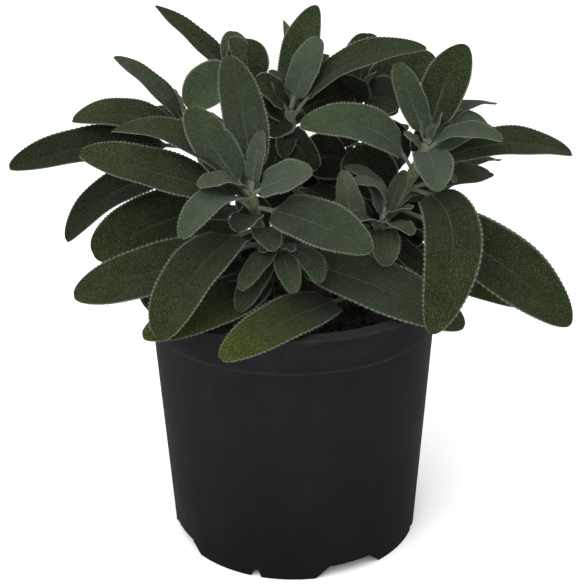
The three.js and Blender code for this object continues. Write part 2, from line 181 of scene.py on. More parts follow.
LEAFY_STEMS: tuple[StemPlan, ...] = (
    StemPlan("front_left", (
        ShootPlan(STEM_WIDTH, ((-8, -4, 76), (-8, -4, 112), (-12, -18, 130), (-15, -26, 147)), (
            LeafPlan(0.97, (-23, -6, 192), 17, -3, -6, 0, age=LeafAge.HALF_GROWN),
            LeafPlan(0.97, (-36, -16, 176), 16, 2, 3, -35, age=LeafAge.HALF_GROWN),
            LeafPlan(1, (-11, -18, 168), 7, 2, -1, 0, age=LeafAge.YOUNG),
            LeafPlan(0.97, (-17, -10, 153), 8, 2, 0, 0),
            LeafPlan(1, (-32, -40, 154), 11, 8, 0, -10, age=LeafAge.YOUNG),
            LeafPlan(0.85, (-37, -56, 141), 13, 20, -3, -10, age=LeafAge.YOUNG),
            LeafPlan(1, (7, -34, 157), 15, 3, 0, 35, age=LeafAge.YOUNG, end=LeafTip.POINTED),
            LeafPlan(0.9, (27, -48, 133), 20, 7, 0, 30, age=LeafAge.HALF_GROWN, end=LeafTip.POINTED),
            LeafPlan(0.93, (-73, -32, 164), 22, 4, 2, -25),
            LeafPlan(0.93, (-65, -8, 166), 19, 22, 0, -10, end=LeafTip.POINTED),
            LeafPlan(0.72, (-45, -62, 107), 24, 18, 0, 0, age=LeafAge.GROWN, end=LeafTip.ROUND),
            LeafPlan(0.6, (-81, -24, 108), 22, 6, 3, -38),
            LeafPlan(0.42, (-52, -56, 105.5), 20, 13, 19, -20, age=LeafAge.YELLOWING, end=LeafTip.ROUND),
            LeafPlan(0.8, (-19, -38, 137), 11, 5, 0, 0),
            LeafPlan(0.72, (-7, -41, 131), 10, 4, 0, 0),
            LeafPlan(0.9, (-26, -28, 149), 11, 4, 0, -10),
            LeafPlan(0.55, (-39, -8, 127), 15, 4, 0, -20, age=LeafAge.SHADED),
            LeafPlan(0.5, (20, -4, 124), 14, 5, 0, 0, age=LeafAge.SHADED),
            LeafPlan(0.4, (-28, -30, 116), 18, 5, 0, -10, age=LeafAge.SHADED),
        )),
        ShootPlan(SHOOT_WIDTH, ((-9, -9, 117), (-8, -12, 121), (-6, -17, 124), (-5, -23, 127)), (
            # The first five leaves here are set half grown as painted shade, which makes them darker than
            # young leaves.
            LeafPlan(0.9, (-18, -50, 120), 8, 5, 0, -10, age=LeafAge.HALF_GROWN),
            LeafPlan(0.7, (-19, -48, 111), 10, 4, 0, -10, age=LeafAge.HALF_GROWN),
            LeafPlan(0.9, (0, -46, 117), 9, 4, 0, 0, age=LeafAge.HALF_GROWN),
            LeafPlan(0.9, (9, -42, 119), 9, 4, 7, 10, age=LeafAge.HALF_GROWN),
            LeafPlan(0.7, (12, -30, 119), 10, 3, 0, 10, age=LeafAge.HALF_GROWN),
            LeafPlan(1, (-11, -34, 128), 5, 1, 0, 0),
            LeafPlan(1, (0, -33, 128), 5, 1, 0, 0),
            LeafPlan(0.3, (61, -42, 102), 22, 12, -3, 32, age=LeafAge.HALF_GROWN),
        )),
    )),
    StemPlan("right", (
        ShootPlan(STEM_WIDTH, ((21, 3, 76), (21, 3, 112), (38, -2, 128), (51, 5, 156)), (
            LeafPlan(1, (39, 10, 186), 11, 2, 0, -50),
            LeafPlan(1, (66, 18, 191), 17, 3, 4, 35, end=LeafTip.POINTED),
            LeafPlan(1, (56, 8, 168), 5, 1, 0, 0),
            LeafPlan(1, (50, 8, 168), 5, 1, 0, 0),
            LeafPlan(0.97, (77, -8, 161), 12, 12, 0, 15, age=LeafAge.YOUNG),
            LeafPlan(0.97, (42, 4, 161), 6, 2, 0, -20),
            LeafPlan(0.97, (52, -22, 146), 14.5, 10, 0, 0, age=LeafAge.YOUNG, end=LeafTip.POINTED),
            LeafPlan(0.88, (107, 10, 151), 17, 18, 0, 25),
            LeafPlan(0.8, (78, 20, 141), 14, 6, -5, 20),
            LeafPlan(0.93, (81, 34, 165), 11, 18, 0, 0, bend=0.4),
            LeafPlan(0.9, (77, 26, 159), 13, 20, 0, 35, age=LeafAge.YOUNG),
            LeafPlan(0.95, (61, -4, 144), 7, 3, 0, 0),
            LeafPlan(0.7, (102.5, -28, 96), 25, 16, 3, 42, end=LeafTip.POINTED),
            LeafPlan(0.45, (87, -10, 97.5), 19, 13, -3, 30, age=LeafAge.YELLOWING),
            LeafPlan(0.8, (47.5, -56, 105.5), 21, 18, 24, 0, bend=0.3),
            LeafPlan(0.88, (3, -2, 166), 19, 23.5, 0, -35, age=LeafAge.HALF_GROWN),
            LeafPlan(0.2, (-24, -74, 105), 18, 20, 7, -24, bend=0.7, age=LeafAge.YELLOWING),
            LeafPlan(0.85, (70, 50, 161), 16, 8, 0, 0, age=LeafAge.SHADED),
            LeafPlan(0.65, (86, 48, 138), 18, 14, 0, 0, age=LeafAge.SHADED),
            LeafPlan(0.35, (52, 14, 129), 18, 4, 0, 40, age=LeafAge.SHADED),
            LeafPlan(0.45, (69, 60, 124), 18, 14, 0, 0, age=LeafAge.SHADED),
            LeafPlan(0.72, (22, 12, 152), 20, 4, 0, -50, age=LeafAge.SHADED),
            LeafPlan(0.5, (26, 12, 139), 14, 4, 0, -40, age=LeafAge.SHADED),
        )),
        ShootPlan(SHOOT_WIDTH, ((25, 1, 114), (27, -2, 120), (32, -8, 125), (34, -14, 132)), (
            LeafPlan(1, (21, -12, 147), 8, 13, -5, 0),
            LeafPlan(0.9, (20, 4, 148.5), 8, 12, -4, 0),
            LeafPlan(1, (31, -6, 145), 7, 2, 0, 0),
            LeafPlan(1, (42, -4, 149), 6, 2, 0, 20, age=LeafAge.HALF_GROWN),
            LeafPlan(0.9, (19, -32, 139), 10, 4, 0, -10),
            LeafPlan(0.9, (33, -36, 123), 11, 5, 0, 0),
            LeafPlan(1, (43, -22, 140), 8, 3, 0, 0, age=LeafAge.HALF_GROWN),
            LeafPlan(0.9, (42, -34, 134), 8, 5, 0, 0, age=LeafAge.HALF_GROWN),
            LeafPlan(0.7, (48, -26, 114), 12, 5, 0, 0, age=LeafAge.SHADED),
            LeafPlan(0.8, (15, -10, 138), 13, 4, 0, -20, age=LeafAge.SHADED),
            LeafPlan(0.4, (19, -14, 152), 11, -8, 0, 15),
            LeafPlan(0.9, (51, 2, 119), 13, 4, 0, 0, age=LeafAge.SHADED),
            LeafPlan(0.6, (49, 6, 123), 18, 4, 0, 50, age=LeafAge.SHADED),
        )),
    )),
    StemPlan("back", (
        ShootPlan(STEM_WIDTH, ((5, 22, 76), (5, 22, 118), (1, 20, 140), (-1, 25, 165)), (
            LeafPlan(0.97, (10, 40, 203), 17, 2, 3, 0, end=LeafTip.POINTED),
            LeafPlan(1, (11, 24, 193), 13, 2, 0, 58, age=LeafAge.YOUNG, end=LeafTip.ROUND),
            LeafPlan(0.95, (51, 18, 190), 20, 19.5, 0, 20, end=LeafTip.POINTED),
            LeafPlan(1, (-3, 50, 196), 6, 3, -6, 0, end=LeafTip.SHARP),
            LeafPlan(1, (14, 40, 184), 12, 4, 0, 0),
            LeafPlan(1, (-14, 20, 178), 15, 3, 0, -40),
            LeafPlan(0.97, (-8, 30, 180), 10, 2, 0, 0),
            LeafPlan(0.9, (10, 0, 149), 13, 8, 0, 60, age=LeafAge.SHADED),
            LeafPlan(0.9, (-3, 4, 152), 8, 4, 0, 0, age=LeafAge.SHADED),
            LeafPlan(0.85, (6, 73, 160), 17, 12, 0, 0, age=LeafAge.SHADED),
            LeafPlan(0.6, (24, 72, 122), 18, 16, 0, 0, age=LeafAge.SHADED),
            LeafPlan(0.5, (-12, 70, 116), 18, 14, 0, 0, age=LeafAge.SHADED),
            LeafPlan(0.9, (-9, 8, 139), 19, 6, 0, 0, age=LeafAge.SHADED),
            LeafPlan(0.97, (24, 34, 170), 18, 6, 0, 45, age=LeafAge.SHADED),
            LeafPlan(0.6, (17, 6, 129), 16, 6, 0, 0, age=LeafAge.SHADED),
            LeafPlan(0.72, (22, 30, 145), 20, 6, 0, 55, age=LeafAge.SHADED),
            LeafPlan(0.97, (-11, 18, 158), 18, 5, 0, -30, age=LeafAge.SHADED),
            LeafPlan(0.93, (-13, 24, 173), 14, 4, 0, -40, age=LeafAge.SHADED),
            LeafPlan(0.42, (16, 36, 133), 18, 4, 0, 40, age=LeafAge.SHADED),
            LeafPlan(0.38, (-11, 22, 134), 20, 4, 0, -50, age=LeafAge.SHADED),
        )),
        ShootPlan(SHOOT_WIDTH, ((5, 22, 112), (12, 32, 118), (24, 40, 135), (27, 42, 165)), (
            LeafPlan(1, (31, 58, 189), 16, 2, 0, 0, end=LeafTip.ROUND),
            LeafPlan(1, (58, 44, 181), 20, 6, 0, 42, age=LeafAge.GROWN),
            LeafPlan(0.9, (42, 30, 163), 14, 5, 0, 30),
            LeafPlan(1, (44, 30, 168), 17, 5, 0, 60, age=LeafAge.HALF_GROWN, end=LeafTip.ROUND),
            LeafPlan(1, (33, 38, 177), 9, 1, 0, 0),
            LeafPlan(0.95, (19, 30, 178), 17, 3, 0, 0, age=LeafAge.SHADED),
            LeafPlan(0.8, (41, 16, 143), 15, 5, 0, 0, age=LeafAge.SHADED),
            LeafPlan(0.8, (48, 70, 145), 16, 10, 0, 0, age=LeafAge.SHADED),
            LeafPlan(0.75, (15, 18, 135), 18, 5, 0, 0, age=LeafAge.SHADED),
            LeafPlan(0.6, (33, 24, 130), 17, 5, 0, 0, age=LeafAge.SHADED),
            LeafPlan(0.88, (47, 38, 141), 20, 5, 0, 50, age=LeafAge.SHADED),
            LeafPlan(1, (16, 40, 169), 14, 4, 0, -20, age=LeafAge.SHADED),
            LeafPlan(0.35, (37, 34, 140), 18, 4, 0, 50, age=LeafAge.SHADED),
            LeafPlan(0.9, (15, 36, 151), 20, 4, 0, -40, age=LeafAge.SHADED),
        )),
    )),
    StemPlan("back_left", (
        ShootPlan(STEM_WIDTH, ((-20, 18, 76), (-20, 18, 115), (-32, 20, 135), (-41, 25, 163)), (
            LeafPlan(0.9, (-69, 34, 185), 12, 8, 0, -12, end=LeafTip.POINTED),
            LeafPlan(0.8, (-85, 22, 163), 16, 23, 0, -32, bend=0.55),
            LeafPlan(1, (-45, 24, 174), 7, 1, 0, 0),
            LeafPlan(0.85, (-108, 8, 148), 20, 13, 0, -28, age=LeafAge.SHADED),
            LeafPlan(0.7, (-87, 0, 121), 20, 26, 0, -20, bend=0.55, age=LeafAge.SHADED),
            LeafPlan(0.55, (-75, -12, 120), 25, 17, 2, -45, end=LeafTip.ROUND),
            LeafPlan(0.9, (-66, 58, 156), 17, 10, 0, 0, age=LeafAge.SHADED),
            LeafPlan(0.65, (-76, 48, 128), 18, 14, 0, 0, age=LeafAge.SHADED),
            LeafPlan(0.45, (-46, 66, 116), 18, 14, 0, 0, age=LeafAge.SHADED),
            LeafPlan(0.5, (-43, 4, 123), 16, 4, 0, -20, age=LeafAge.SHADED),
            LeafPlan(0.42, (-37, 2, 129), 20, 4, 0, -50, age=LeafAge.SHADED),
            LeafPlan(0.2, (-7, 12, 114), 17, 4, 0, 50, age=LeafAge.SHADED),
        )),
        ShootPlan(SHOOT_WIDTH, ((-21, 18, 124), (-20, 22, 140), (-18, 26, 150), (-17, 30, 171)), (
            LeafPlan(1, (-53, 44, 203), 15, 3, 0, -6, end=LeafTip.SHARP),
            LeafPlan(0.97, (-23, 48, 192), 13, 3, 3, 0),
            LeafPlan(1, (-24, 34, 191), 15, 2, -6, 0, age=LeafAge.HALF_GROWN),
            LeafPlan(1, (-18, 42, 190), 17, 3, 0, 10),
            LeafPlan(0.95, (-40, 18, 168), 21, 18, -5, -35, age=LeafAge.HALF_GROWN),
            LeafPlan(0.9, (-25, 16, 165), 8, 2, 0, 0),
            LeafPlan(0.8, (-26, 8, 158), 9, 3, 0, 0),
            LeafPlan(0.85, (-32, 70, 166), 16, 10, 0, 0, age=LeafAge.SHADED),
            LeafPlan(0.5, (-33, 5, 167), 14, 4, 0, -45, age=LeafAge.SHADED),
            LeafPlan(0.1, (-33, 2, 125), 16, 5, 0, 0, age=LeafAge.SHADED),
            LeafPlan(0.2, (-12, 4, 122), 14, 5, 0, 0, age=LeafAge.SHADED),
        )),
    )),
)


class NodeSheet:
    """Adds and links the nodes of one material or one node group."""

    def __init__(self, tree: NodeTree) -> None:
        """Starts on a material's or a group's node tree."""
        self.tree = tree

    def fill(self, socket: Socket, value: Value | Shade) -> None:
        """Links an input to another node's output, or gives it a plain value.

        Args:
            socket: the input socket.
            value: an output socket, a number, a vector or a colour.
        """
        if isinstance(value, Socket):
            self.tree.links.new(value, socket)
        else:
            socket.default_value = (*value, 1.0) if socket.type == "RGBA" else value

    def add(self, kind: str, inputs: dict[str | int, Value | Shade] | None = None,
            **settings: object) -> bpy.types.Node:
        """Adds one node.

        Args:
            kind: the node's type, such as "ShaderNodeMath".
            inputs: values or output sockets for its input sockets, by name or number.
            settings: values for the node's own settings.

        Returns:
            The new node.
        """
        node = self.tree.nodes.new(kind)
        for name, value in settings.items():
            setattr(node, name, value)
        for key, value in (inputs or {}).items():
            self.fill(node.inputs[key], value)
        return node

    def math(self, operation: str, a: Value, b: Value = 0.5, clamp: bool = False) -> Socket:
        """Adds a Math node on two values or sockets and returns its result."""
        return self.add("ShaderNodeMath", {0: a, 1: b}, operation=operation, use_clamp=clamp).outputs[0]

    def plus(self, a: Value, b: Value) -> Socket:
        """Adds two values or sockets."""
        return self.math("ADD", a, b)

    def times(self, first: Value, *others: Value) -> Socket:
        """Multiplies values or sockets from left to right.

        Args:
            first: the first factor.
            others: the other factors.

        Returns:
            The product's socket.
        """
        for value in others:
            first = self.math("MULTIPLY", first, value)
        return first

    def line(self, value: Value, slope: float, offset: float) -> Socket:
        """Returns the value times the slope plus the offset."""
        return self.plus(self.times(value, slope), offset)

    def varied(self, value: Value, spread: float) -> Socket:
        """Maps 0 to 1 onto a range of that spread around 1."""
        return self.line(value, spread, 1.0 - spread / 2)

    def ramp(self, value: Value, low: float, high: float, to: tuple[float, float] = (0.0, 1.0)) -> Socket:
        """Maps a value smoothly from the range low to high onto the range to.

        Args:
            value: the socket to map.
            low: the value that becomes to[0].
            high: the value that becomes to[1].
            to: the new range.

        Returns:
            The mapped value's socket.
        """
        inputs = {"Value": value, "From Min": low, "From Max": high, "To Min": to[0], "To Max": to[1]}
        return self.add("ShaderNodeMapRange", inputs, interpolation_type="SMOOTHSTEP").outputs[0]

    def mix(self, share: Value, a: Shade, b: Shade, blend: str = "MIX") -> Socket:
        """Mixes two colours.

        Args:
            share: how much of b there is, as a value or a socket.
            a: the first colour or socket.
            b: the second colour or socket.
            blend: the way to blend them.

        Returns:
            The mixed colour's socket.
        """
        node = self.add("ShaderNodeMix", data_type="RGBA", blend_type=blend)
        for key, value in (("Factor_Float", share), ("A_Color", a), ("B_Color", b)):
            self.fill(next(socket for socket in node.inputs if socket.identifier == key), value)
        return next(socket for socket in node.outputs if socket.identifier == "Result_Color")

    def shaded(self, colour: Shade, brightness: Value) -> Socket:
        """Multiplies a colour by a brightness."""
        grey = self.add("ShaderNodeCombineColor", {0: brightness, 1: brightness, 2: brightness})
        return self.mix(1.0, colour, grey.outputs[0], "MULTIPLY")

    def noise(self, vector: Socket, scale: Value, detail: float, roughness: float = 0.5) -> Socket:
        """Adds a noise texture.

        Args:
            vector: the coordinates' socket.
            scale: the pattern's scale.
            detail: the number of finer layers.
            roughness: how strong the finer layers are.

        Returns:
            The noise's value from 0 to 1.
        """
        inputs = {"Vector": vector, "Scale": scale, "Detail": detail, "Roughness": roughness}
        return self.add("ShaderNodeTexNoise", inputs).outputs[0]

    def stretched(self, vector: Socket, scale: Point, turn: Point = (0.0, 0.0, 0.0)) -> Socket:
        """Scales a pattern's coordinates along each axis and turns them."""
        return self.add("ShaderNodeMapping", {"Vector": vector, "Rotation": turn, "Scale": scale}).outputs[0]

    def parts(self, vector: Socket) -> tuple[Socket, Socket, Socket]:
        """Returns the x, y and z of a vector."""
        outputs = self.add("ShaderNodeSeparateXYZ", {0: vector}).outputs
        return outputs["X"], outputs["Y"], outputs["Z"]

    def group(self, tree: NodeTree, inputs: dict[str, Value]) -> bpy.types.Node:
        """Adds a node group with its own values."""
        return self.add("ShaderNodeGroup", inputs, node_tree=tree)


class GroupSheet(NodeSheet):
    """A new node group that reads a vector and some numbers and gives out values."""

    def __init__(self, name: str, numbers: dict[str, float], outputs: Sequence[str]) -> None:
        """Makes the empty group.

        Args:
            name: the group's name.
            numbers: each number input's first value, by name.
            outputs: the names of its value outputs.
        """
        super().__init__(bpy.data.node_groups.new(name, "ShaderNodeTree"))
        sockets = self.tree.interface
        sockets.new_socket("Vector", in_out="INPUT", socket_type="NodeSocketVector")
        for label, value in numbers.items():
            sockets.new_socket(label, in_out="INPUT", socket_type="NodeSocketFloat").default_value = value
        for label in outputs:
            sockets.new_socket(label, in_out="OUTPUT", socket_type="NodeSocketFloat")
        self.start = self.tree.nodes.new("NodeGroupInput").outputs
        self.end = self.tree.nodes.new("NodeGroupOutput").inputs


class MaterialSheet(NodeSheet):
    """A new material with one Principled shader."""

    def __init__(self, name: str, values: dict[str, float | Colour]) -> None:
        """Makes the material.

        Args:
            name: the material's name.
            values: the shader's plain values, by the names of its inputs.
        """
        self.material = bpy.data.materials.new(name)
        self.material.use_nodes = True
        super().__init__(self.material.node_tree)
        self.shader = self.tree.nodes["Principled BSDF"]
        for label, value in values.items():
            self.feed(label, value)

    def feed(self, label: str, value: Value | Shade) -> None:
        """Gives one of the shader's inputs a socket or a plain value."""
        self.fill(self.shader.inputs[label], value)

    def bump(self, height: Socket, strength: float, depth: float) -> None:
        """Raises the look of the surface.

        Args:
            height: the height's socket.
            strength: how strong the effect is.
            depth: what a height of 1 stands for, in millimetres.
        """
        inputs = {"Height": height, "Strength": strength, "Distance": depth * MM}
        self.feed("Normal", self.add("ShaderNodeBump", inputs).outputs[0])

    def place(self) -> Socket:
        """Returns the Object coordinates."""
        return self.add("ShaderNodeTexCoord").outputs["Object"]

    def surface(self) -> Socket:
        """Returns the piece's own map of its surface, in millimetres."""
        return self.add("ShaderNodeUVMap", uv_map=SURFACE_MAP).outputs[0]

    def attribute(self, name: str) -> tuple[Socket, Socket, Socket]:
        """Returns the three numbers that a mesh stores under a name."""
        return self.parts(self.add("ShaderNodeAttribute", attribute_name=name).outputs["Vector"])

    def blotches(self, effects: "SharedEffects", vector: Socket, scale: float) -> Socket:
        """Returns the mottling at a scale."""
        return self.group(effects.mottling, {"Vector": vector, "Scale": scale}).outputs["Value"]


class SharedEffects:
    """The node groups that more than one finish uses, each built once."""

    def __init__(self) -> None:
        """Builds the three groups."""
        self.pebbles = self._build_pebbles()
        self.mottling = self._build_mottling()
        self.dust = self._build_dust()

    def _build_pebbles(self) -> NodeTree:
        """Builds rows of small pebbles with a sunken net between them.

        Returns:
            The group's tree, with the outputs Height and Tone.
        """
        sheet = GroupSheet("pebbled_net", {"Scale": 1.0}, ("Height", "Tone"))
        texture = {"Vector": sheet.start["Vector"], "Scale": sheet.start["Scale"], "Randomness": 0.55}
        edges = sheet.add("ShaderNodeTexVoronoi", texture, feature="DISTANCE_TO_EDGE")
        cells = sheet.add("ShaderNodeTexVoronoi", texture, feature="F1")
        tones = sheet.add("ShaderNodeSeparateColor", {0: cells.outputs["Color"]})
        sheet.fill(sheet.end["Height"], sheet.ramp(edges.outputs["Distance"], 0.02, 0.3))
        sheet.fill(sheet.end["Tone"], tones.outputs[0])
        return sheet.tree

    def _build_mottling(self) -> NodeTree:
        """Builds soft blotches in two sizes.

        Returns:
            The group's tree, with the output Value from 0 to 1.
        """
        sheet = GroupSheet("mottling", {"Scale": 1.0}, ("Value",))
        vector, scale = sheet.start["Vector"], sheet.start["Scale"]
        broad = sheet.noise(vector, scale, detail=2.0)
        fine = sheet.noise(vector, sheet.times(scale, 4.3), detail=3.0, roughness=0.6)
        both = sheet.plus(sheet.times(broad, 0.65), sheet.times(fine, 0.35))
        sheet.fill(sheet.end["Value"], sheet.ramp(both, 0.3, 0.7))
        return sheet.tree

    def _build_dust(self) -> NodeTree:
        """Builds sparse specks and smears, as of dry compost dust.

        Returns:
            The group's tree, with the output Mask from 0 to 1.
        """
        sheet = GroupSheet("dust", {"Scale": 1.0, "Amount": 0.5}, ("Mask",))
        vector, scale = sheet.start["Vector"], sheet.start["Scale"]
        smears = sheet.ramp(sheet.noise(vector, scale, detail=5.0), 0.48, 0.72)
        specks = sheet.ramp(sheet.noise(vector, sheet.times(scale, 9.0), detail=2.0), 0.6, 0.74)
        mask = sheet.plus(sheet.times(smears, 0.5), sheet.times(specks, smears))
        sheet.fill(sheet.end["Mask"], sheet.math("MULTIPLY", mask, sheet.start["Amount"], clamp=True))
        return sheet.tree


@dataclass(frozen=True)
class LeafFinish:
    """The upper or the under face of a leaf: pebbled, hairy, with pale ribs and margin, and painted shade in
    the net between the pebbles and on shaded leaves.
    """

    name: str
    young: Colour
    grown: Colour
    tip: Colour
    # How bright the net between the pebbles stays under its painted shade, from 0 to 1.
    net_painted_shade: float
    pale: Colour
    rib_share: float
    margin_share: float
    relief: float
    pebble_scale: float = 1.35
    row_slant: float = 0.55
    row_width: float = 0.72
    blotch_scale: float = 0.11
    blotch_spread: float = 0.3
    pebble_spread: float = 0.18
    leaf_spread: float = 0.24
    young_net: float = 0.35
    young_swell: float = 0.4
    tip_start: float = 0.25
    stalk_share: float = 0.75
    stalk_end: float = 0.06
    rib_band: tuple[float, float] = (0.5, 0.12)
    rib_fade: tuple[float, float] = (0.85, 0.2)
    margin_band: tuple[float, float] = (0.905, 0.965)
    margin_start: float = 0.04
    bead_band: tuple[float, float] = (0.25, 0.95)
    bead_tones: tuple[float, float] = (0.3, 0.85)
    hollow_roughness: float = 0.82
    pebble_gloss: float = 0.12
    down_scale: float = 3.2
    down_share: float = 0.35
    bump_strength: float = 0.8

    def make(self, effects: SharedEffects) -> Material:
        """Builds the material.

        Args:
            effects: the shared node groups.

        Returns:
            The material, which reads the leaves' own map and attributes.
        """
        sheet = MaterialSheet(self.name, {
            "Specular IOR Level": 0.045, "Sheen Weight": 0.03, "Sheen Roughness": 0.45,
            "Sheen Tint": (0.86, 0.95, 0.82)})
        surface = sheet.surface()
        along, off_rib, _ = sheet.parts(surface)
        across = sheet.math("ABSOLUTE", off_rib)
        blade, side, tone_and_painted_shade = sheet.attribute(PLACE_ATTRIBUTE)
        age, yellow, tooth = sheet.attribute(MOOD_ATTRIBUTE)

        # The pebbles stand in rows that slant from the midrib forward to the margin.
        slanted = sheet.math("SUBTRACT", along, sheet.times(across, self.row_slant))
        rows = sheet.add("ShaderNodeCombineXYZ", {"X": slanted, "Y": sheet.times(off_rib, self.row_width)})
        pebbles = sheet.group(effects.pebbles, {"Vector": rows.outputs[0], "Scale": self.pebble_scale})
        height, tone = pebbles.outputs["Height"], pebbles.outputs["Tone"]
        blotches = sheet.blotches(effects, surface, self.blotch_scale)

        colour = sheet.mix(age, self.young, self.grown)
        colour = sheet.mix(sheet.times(sheet.ramp(blade, self.tip_start, 1.0), yellow), colour, self.tip)
        # The leaf-to-leaf tone holds painted shade too: a shaded leaf's tone lies far below the rest.
        spreads = ((blotches, self.blotch_spread), (tone, self.pebble_spread), (tone_and_painted_shade, self.leaf_spread))
        brightness = sheet.times(*(sheet.varied(value, spread) for value, spread in spreads))
        # Painted shade darkens the sunken net between the pebbles: faint on a young leaf, it deepens as the
        # leaf grows.
        deepest = 1.0 - self.net_painted_shade
        depth = sheet.ramp(age, 0.0, 1.0, (self.young_net * deepest, deepest))
        painted_hollow_shade = sheet.times(sheet.math("SUBTRACT", 1.0, height), depth)
        colour = sheet.shaded(colour, sheet.times(brightness, sheet.math("SUBTRACT", 1.0, painted_hollow_shade)))

        # The midrib, the stalk and the beads of the hairy margin are pale.
        rib = sheet.times(
            sheet.ramp(across, *self.rib_band), sheet.ramp(blade, *self.rib_fade, (0.0, self.rib_share)))
        stalk = sheet.times(sheet.ramp(blade, self.stalk_end, 0.0), self.stalk_share)
        colour = sheet.mix(sheet.math("MAXIMUM", rib, stalk), colour, self.pale)
        margin = sheet.times(
            sheet.ramp(side, *self.margin_band), self.margin_share,
            sheet.ramp(tooth, *self.bead_band, self.bead_tones), sheet.ramp(blade, 0.0, self.margin_start))
        sheet.feed("Base Color", sheet.mix(margin, colour, self.pale))

        sheet.feed("Roughness", sheet.line(height, -self.pebble_gloss, self.hollow_roughness))
        swell = sheet.times(height, sheet.ramp(age, 0.0, 1.0, (self.young_swell, 1.0)))
        down = sheet.times(sheet.noise(surface, self.down_scale, detail=2.0), self.down_share)
        sheet.bump(sheet.plus(swell, down), self.bump_strength, self.relief)
        return sheet.material


@dataclass(frozen=True)
class HairFinish:
    """The pale hairs on margins and stems."""

    name: str
    pale: Colour
    dull: Colour
    blotch_scale: float = 300.0

    def make(self, effects: SharedEffects) -> Material:
        """Builds the material from pale and dull hairs mixed in patches.

        Args:
            effects: the shared node groups.

        Returns:
            The material, on Object coordinates.
        """
        sheet = MaterialSheet(self.name, {"Roughness": 0.6, "Specular IOR Level": 0.3})
        blotches = sheet.blotches(effects, sheet.place(), self.blotch_scale)
        sheet.feed("Base Color", sheet.mix(blotches, self.dull, self.pale))
        return sheet.material


@dataclass(frozen=True)
class StemFinish:
    """Square stems: woody brown at the foot, and downy yellow-green above."""

    name: str
    woody: Colour
    green: Colour
    purple: Colour
    bark_top: float = 100.0
    green_from: float = 160.0
    ragged: float = 12.0
    blotch_scale: float = 130.0
    purple_band: tuple[float, float] = (0.45, 0.9)
    purple_share: float = 0.45
    fibre_stretch: Point = (0.22, 1.5, 1.0)
    grain_scale: float = 1.6
    grain_band: tuple[float, float] = (0.3, 0.7)
    grain_tones: tuple[float, float] = (0.7, 1.15)
    bump_strength: float = 0.6
    relief: float = 0.3

    def make(self, effects: SharedEffects) -> Material:
        """Builds the material.

        Args:
            effects: the shared node groups.

        Returns:
            The material, which reads the stems' own map in millimetres.
        """
        sheet = MaterialSheet(self.name, {
            "Roughness": 0.78, "Specular IOR Level": 0.15, "Sheen Weight": 0.1,
            "Sheen Tint": (0.9, 0.95, 0.82)})
        place = sheet.place()
        blotches = sheet.blotches(effects, place, self.blotch_scale)
        height = sheet.plus(sheet.parts(place)[2], sheet.times(blotches, self.ragged * MM))
        green = sheet.ramp(height, self.bark_top * MM, self.green_from * MM)
        colour = sheet.mix(green, self.woody, self.green)
        purple = sheet.times(sheet.ramp(blotches, *self.purple_band), self.purple_share)
        colour = sheet.mix(purple, colour, self.purple)
        fibres = sheet.stretched(sheet.surface(), self.fibre_stretch)
        grain = sheet.noise(fibres, self.grain_scale, detail=4.0)
        sheet.feed("Base Color", sheet.shaded(colour, sheet.ramp(grain, *self.grain_band, self.grain_tones)))
        sheet.bump(grain, self.bump_strength, self.relief)
        return sheet.material


@dataclass(frozen=True)
class CompostFinish:
    """Damp dark compost with brown fibres and a few pale grains."""

    name: str
    dark: Colour
    brown: Colour
    pale: Colour
    blotch_scale: float = 160.0
    grain_scale: float = 700.0
    pale_band: tuple[float, float] = (0.93, 0.97)
    pale_share: float = 0.5
    fibre_stretch: Point = (1.0, 5.0, 3.0)
    fibre_turn: Point = (0.4, 0.2, 0.7)
    fibre_scale: float = 260.0
    fibre_band: tuple[float, float] = (0.6, 0.72)
    fibre_share: float = 0.6
    blotch_swell: float = 1.4
    bump_strength: float = 0.9
    relief: float = 0.6

    def make(self, effects: SharedEffects) -> Material:
        """Builds the material.

        Args:
            effects: the shared node groups.

        Returns:
            The material, on Object coordinates.
        """
        sheet = MaterialSheet(self.name, {"Roughness": 0.9, "Specular IOR Level": 0.2})
        place = sheet.place()
        blotches = sheet.blotches(effects, place, self.blotch_scale)
        grains = sheet.group(effects.pebbles, {"Vector": place, "Scale": self.grain_scale}).outputs
        threads = sheet.stretched(place, self.fibre_stretch, self.fibre_turn)
        fibres = sheet.ramp(sheet.noise(threads, self.fibre_scale, detail=3.0), *self.fibre_band)
        colour = sheet.mix(blotches, self.dark, self.brown)
        colour = sheet.mix(sheet.times(fibres, self.fibre_share), colour, self.pale)
        pale_grains = sheet.times(sheet.ramp(grains["Tone"], *self.pale_band), self.pale_share)
        sheet.feed("Base Color", sheet.mix(pale_grains, colour, self.pale))
        swell = sheet.times(blotches, self.blotch_swell)
        sheet.bump(sheet.plus(grains["Height"], swell), self.bump_strength, self.relief)
        return sheet.material


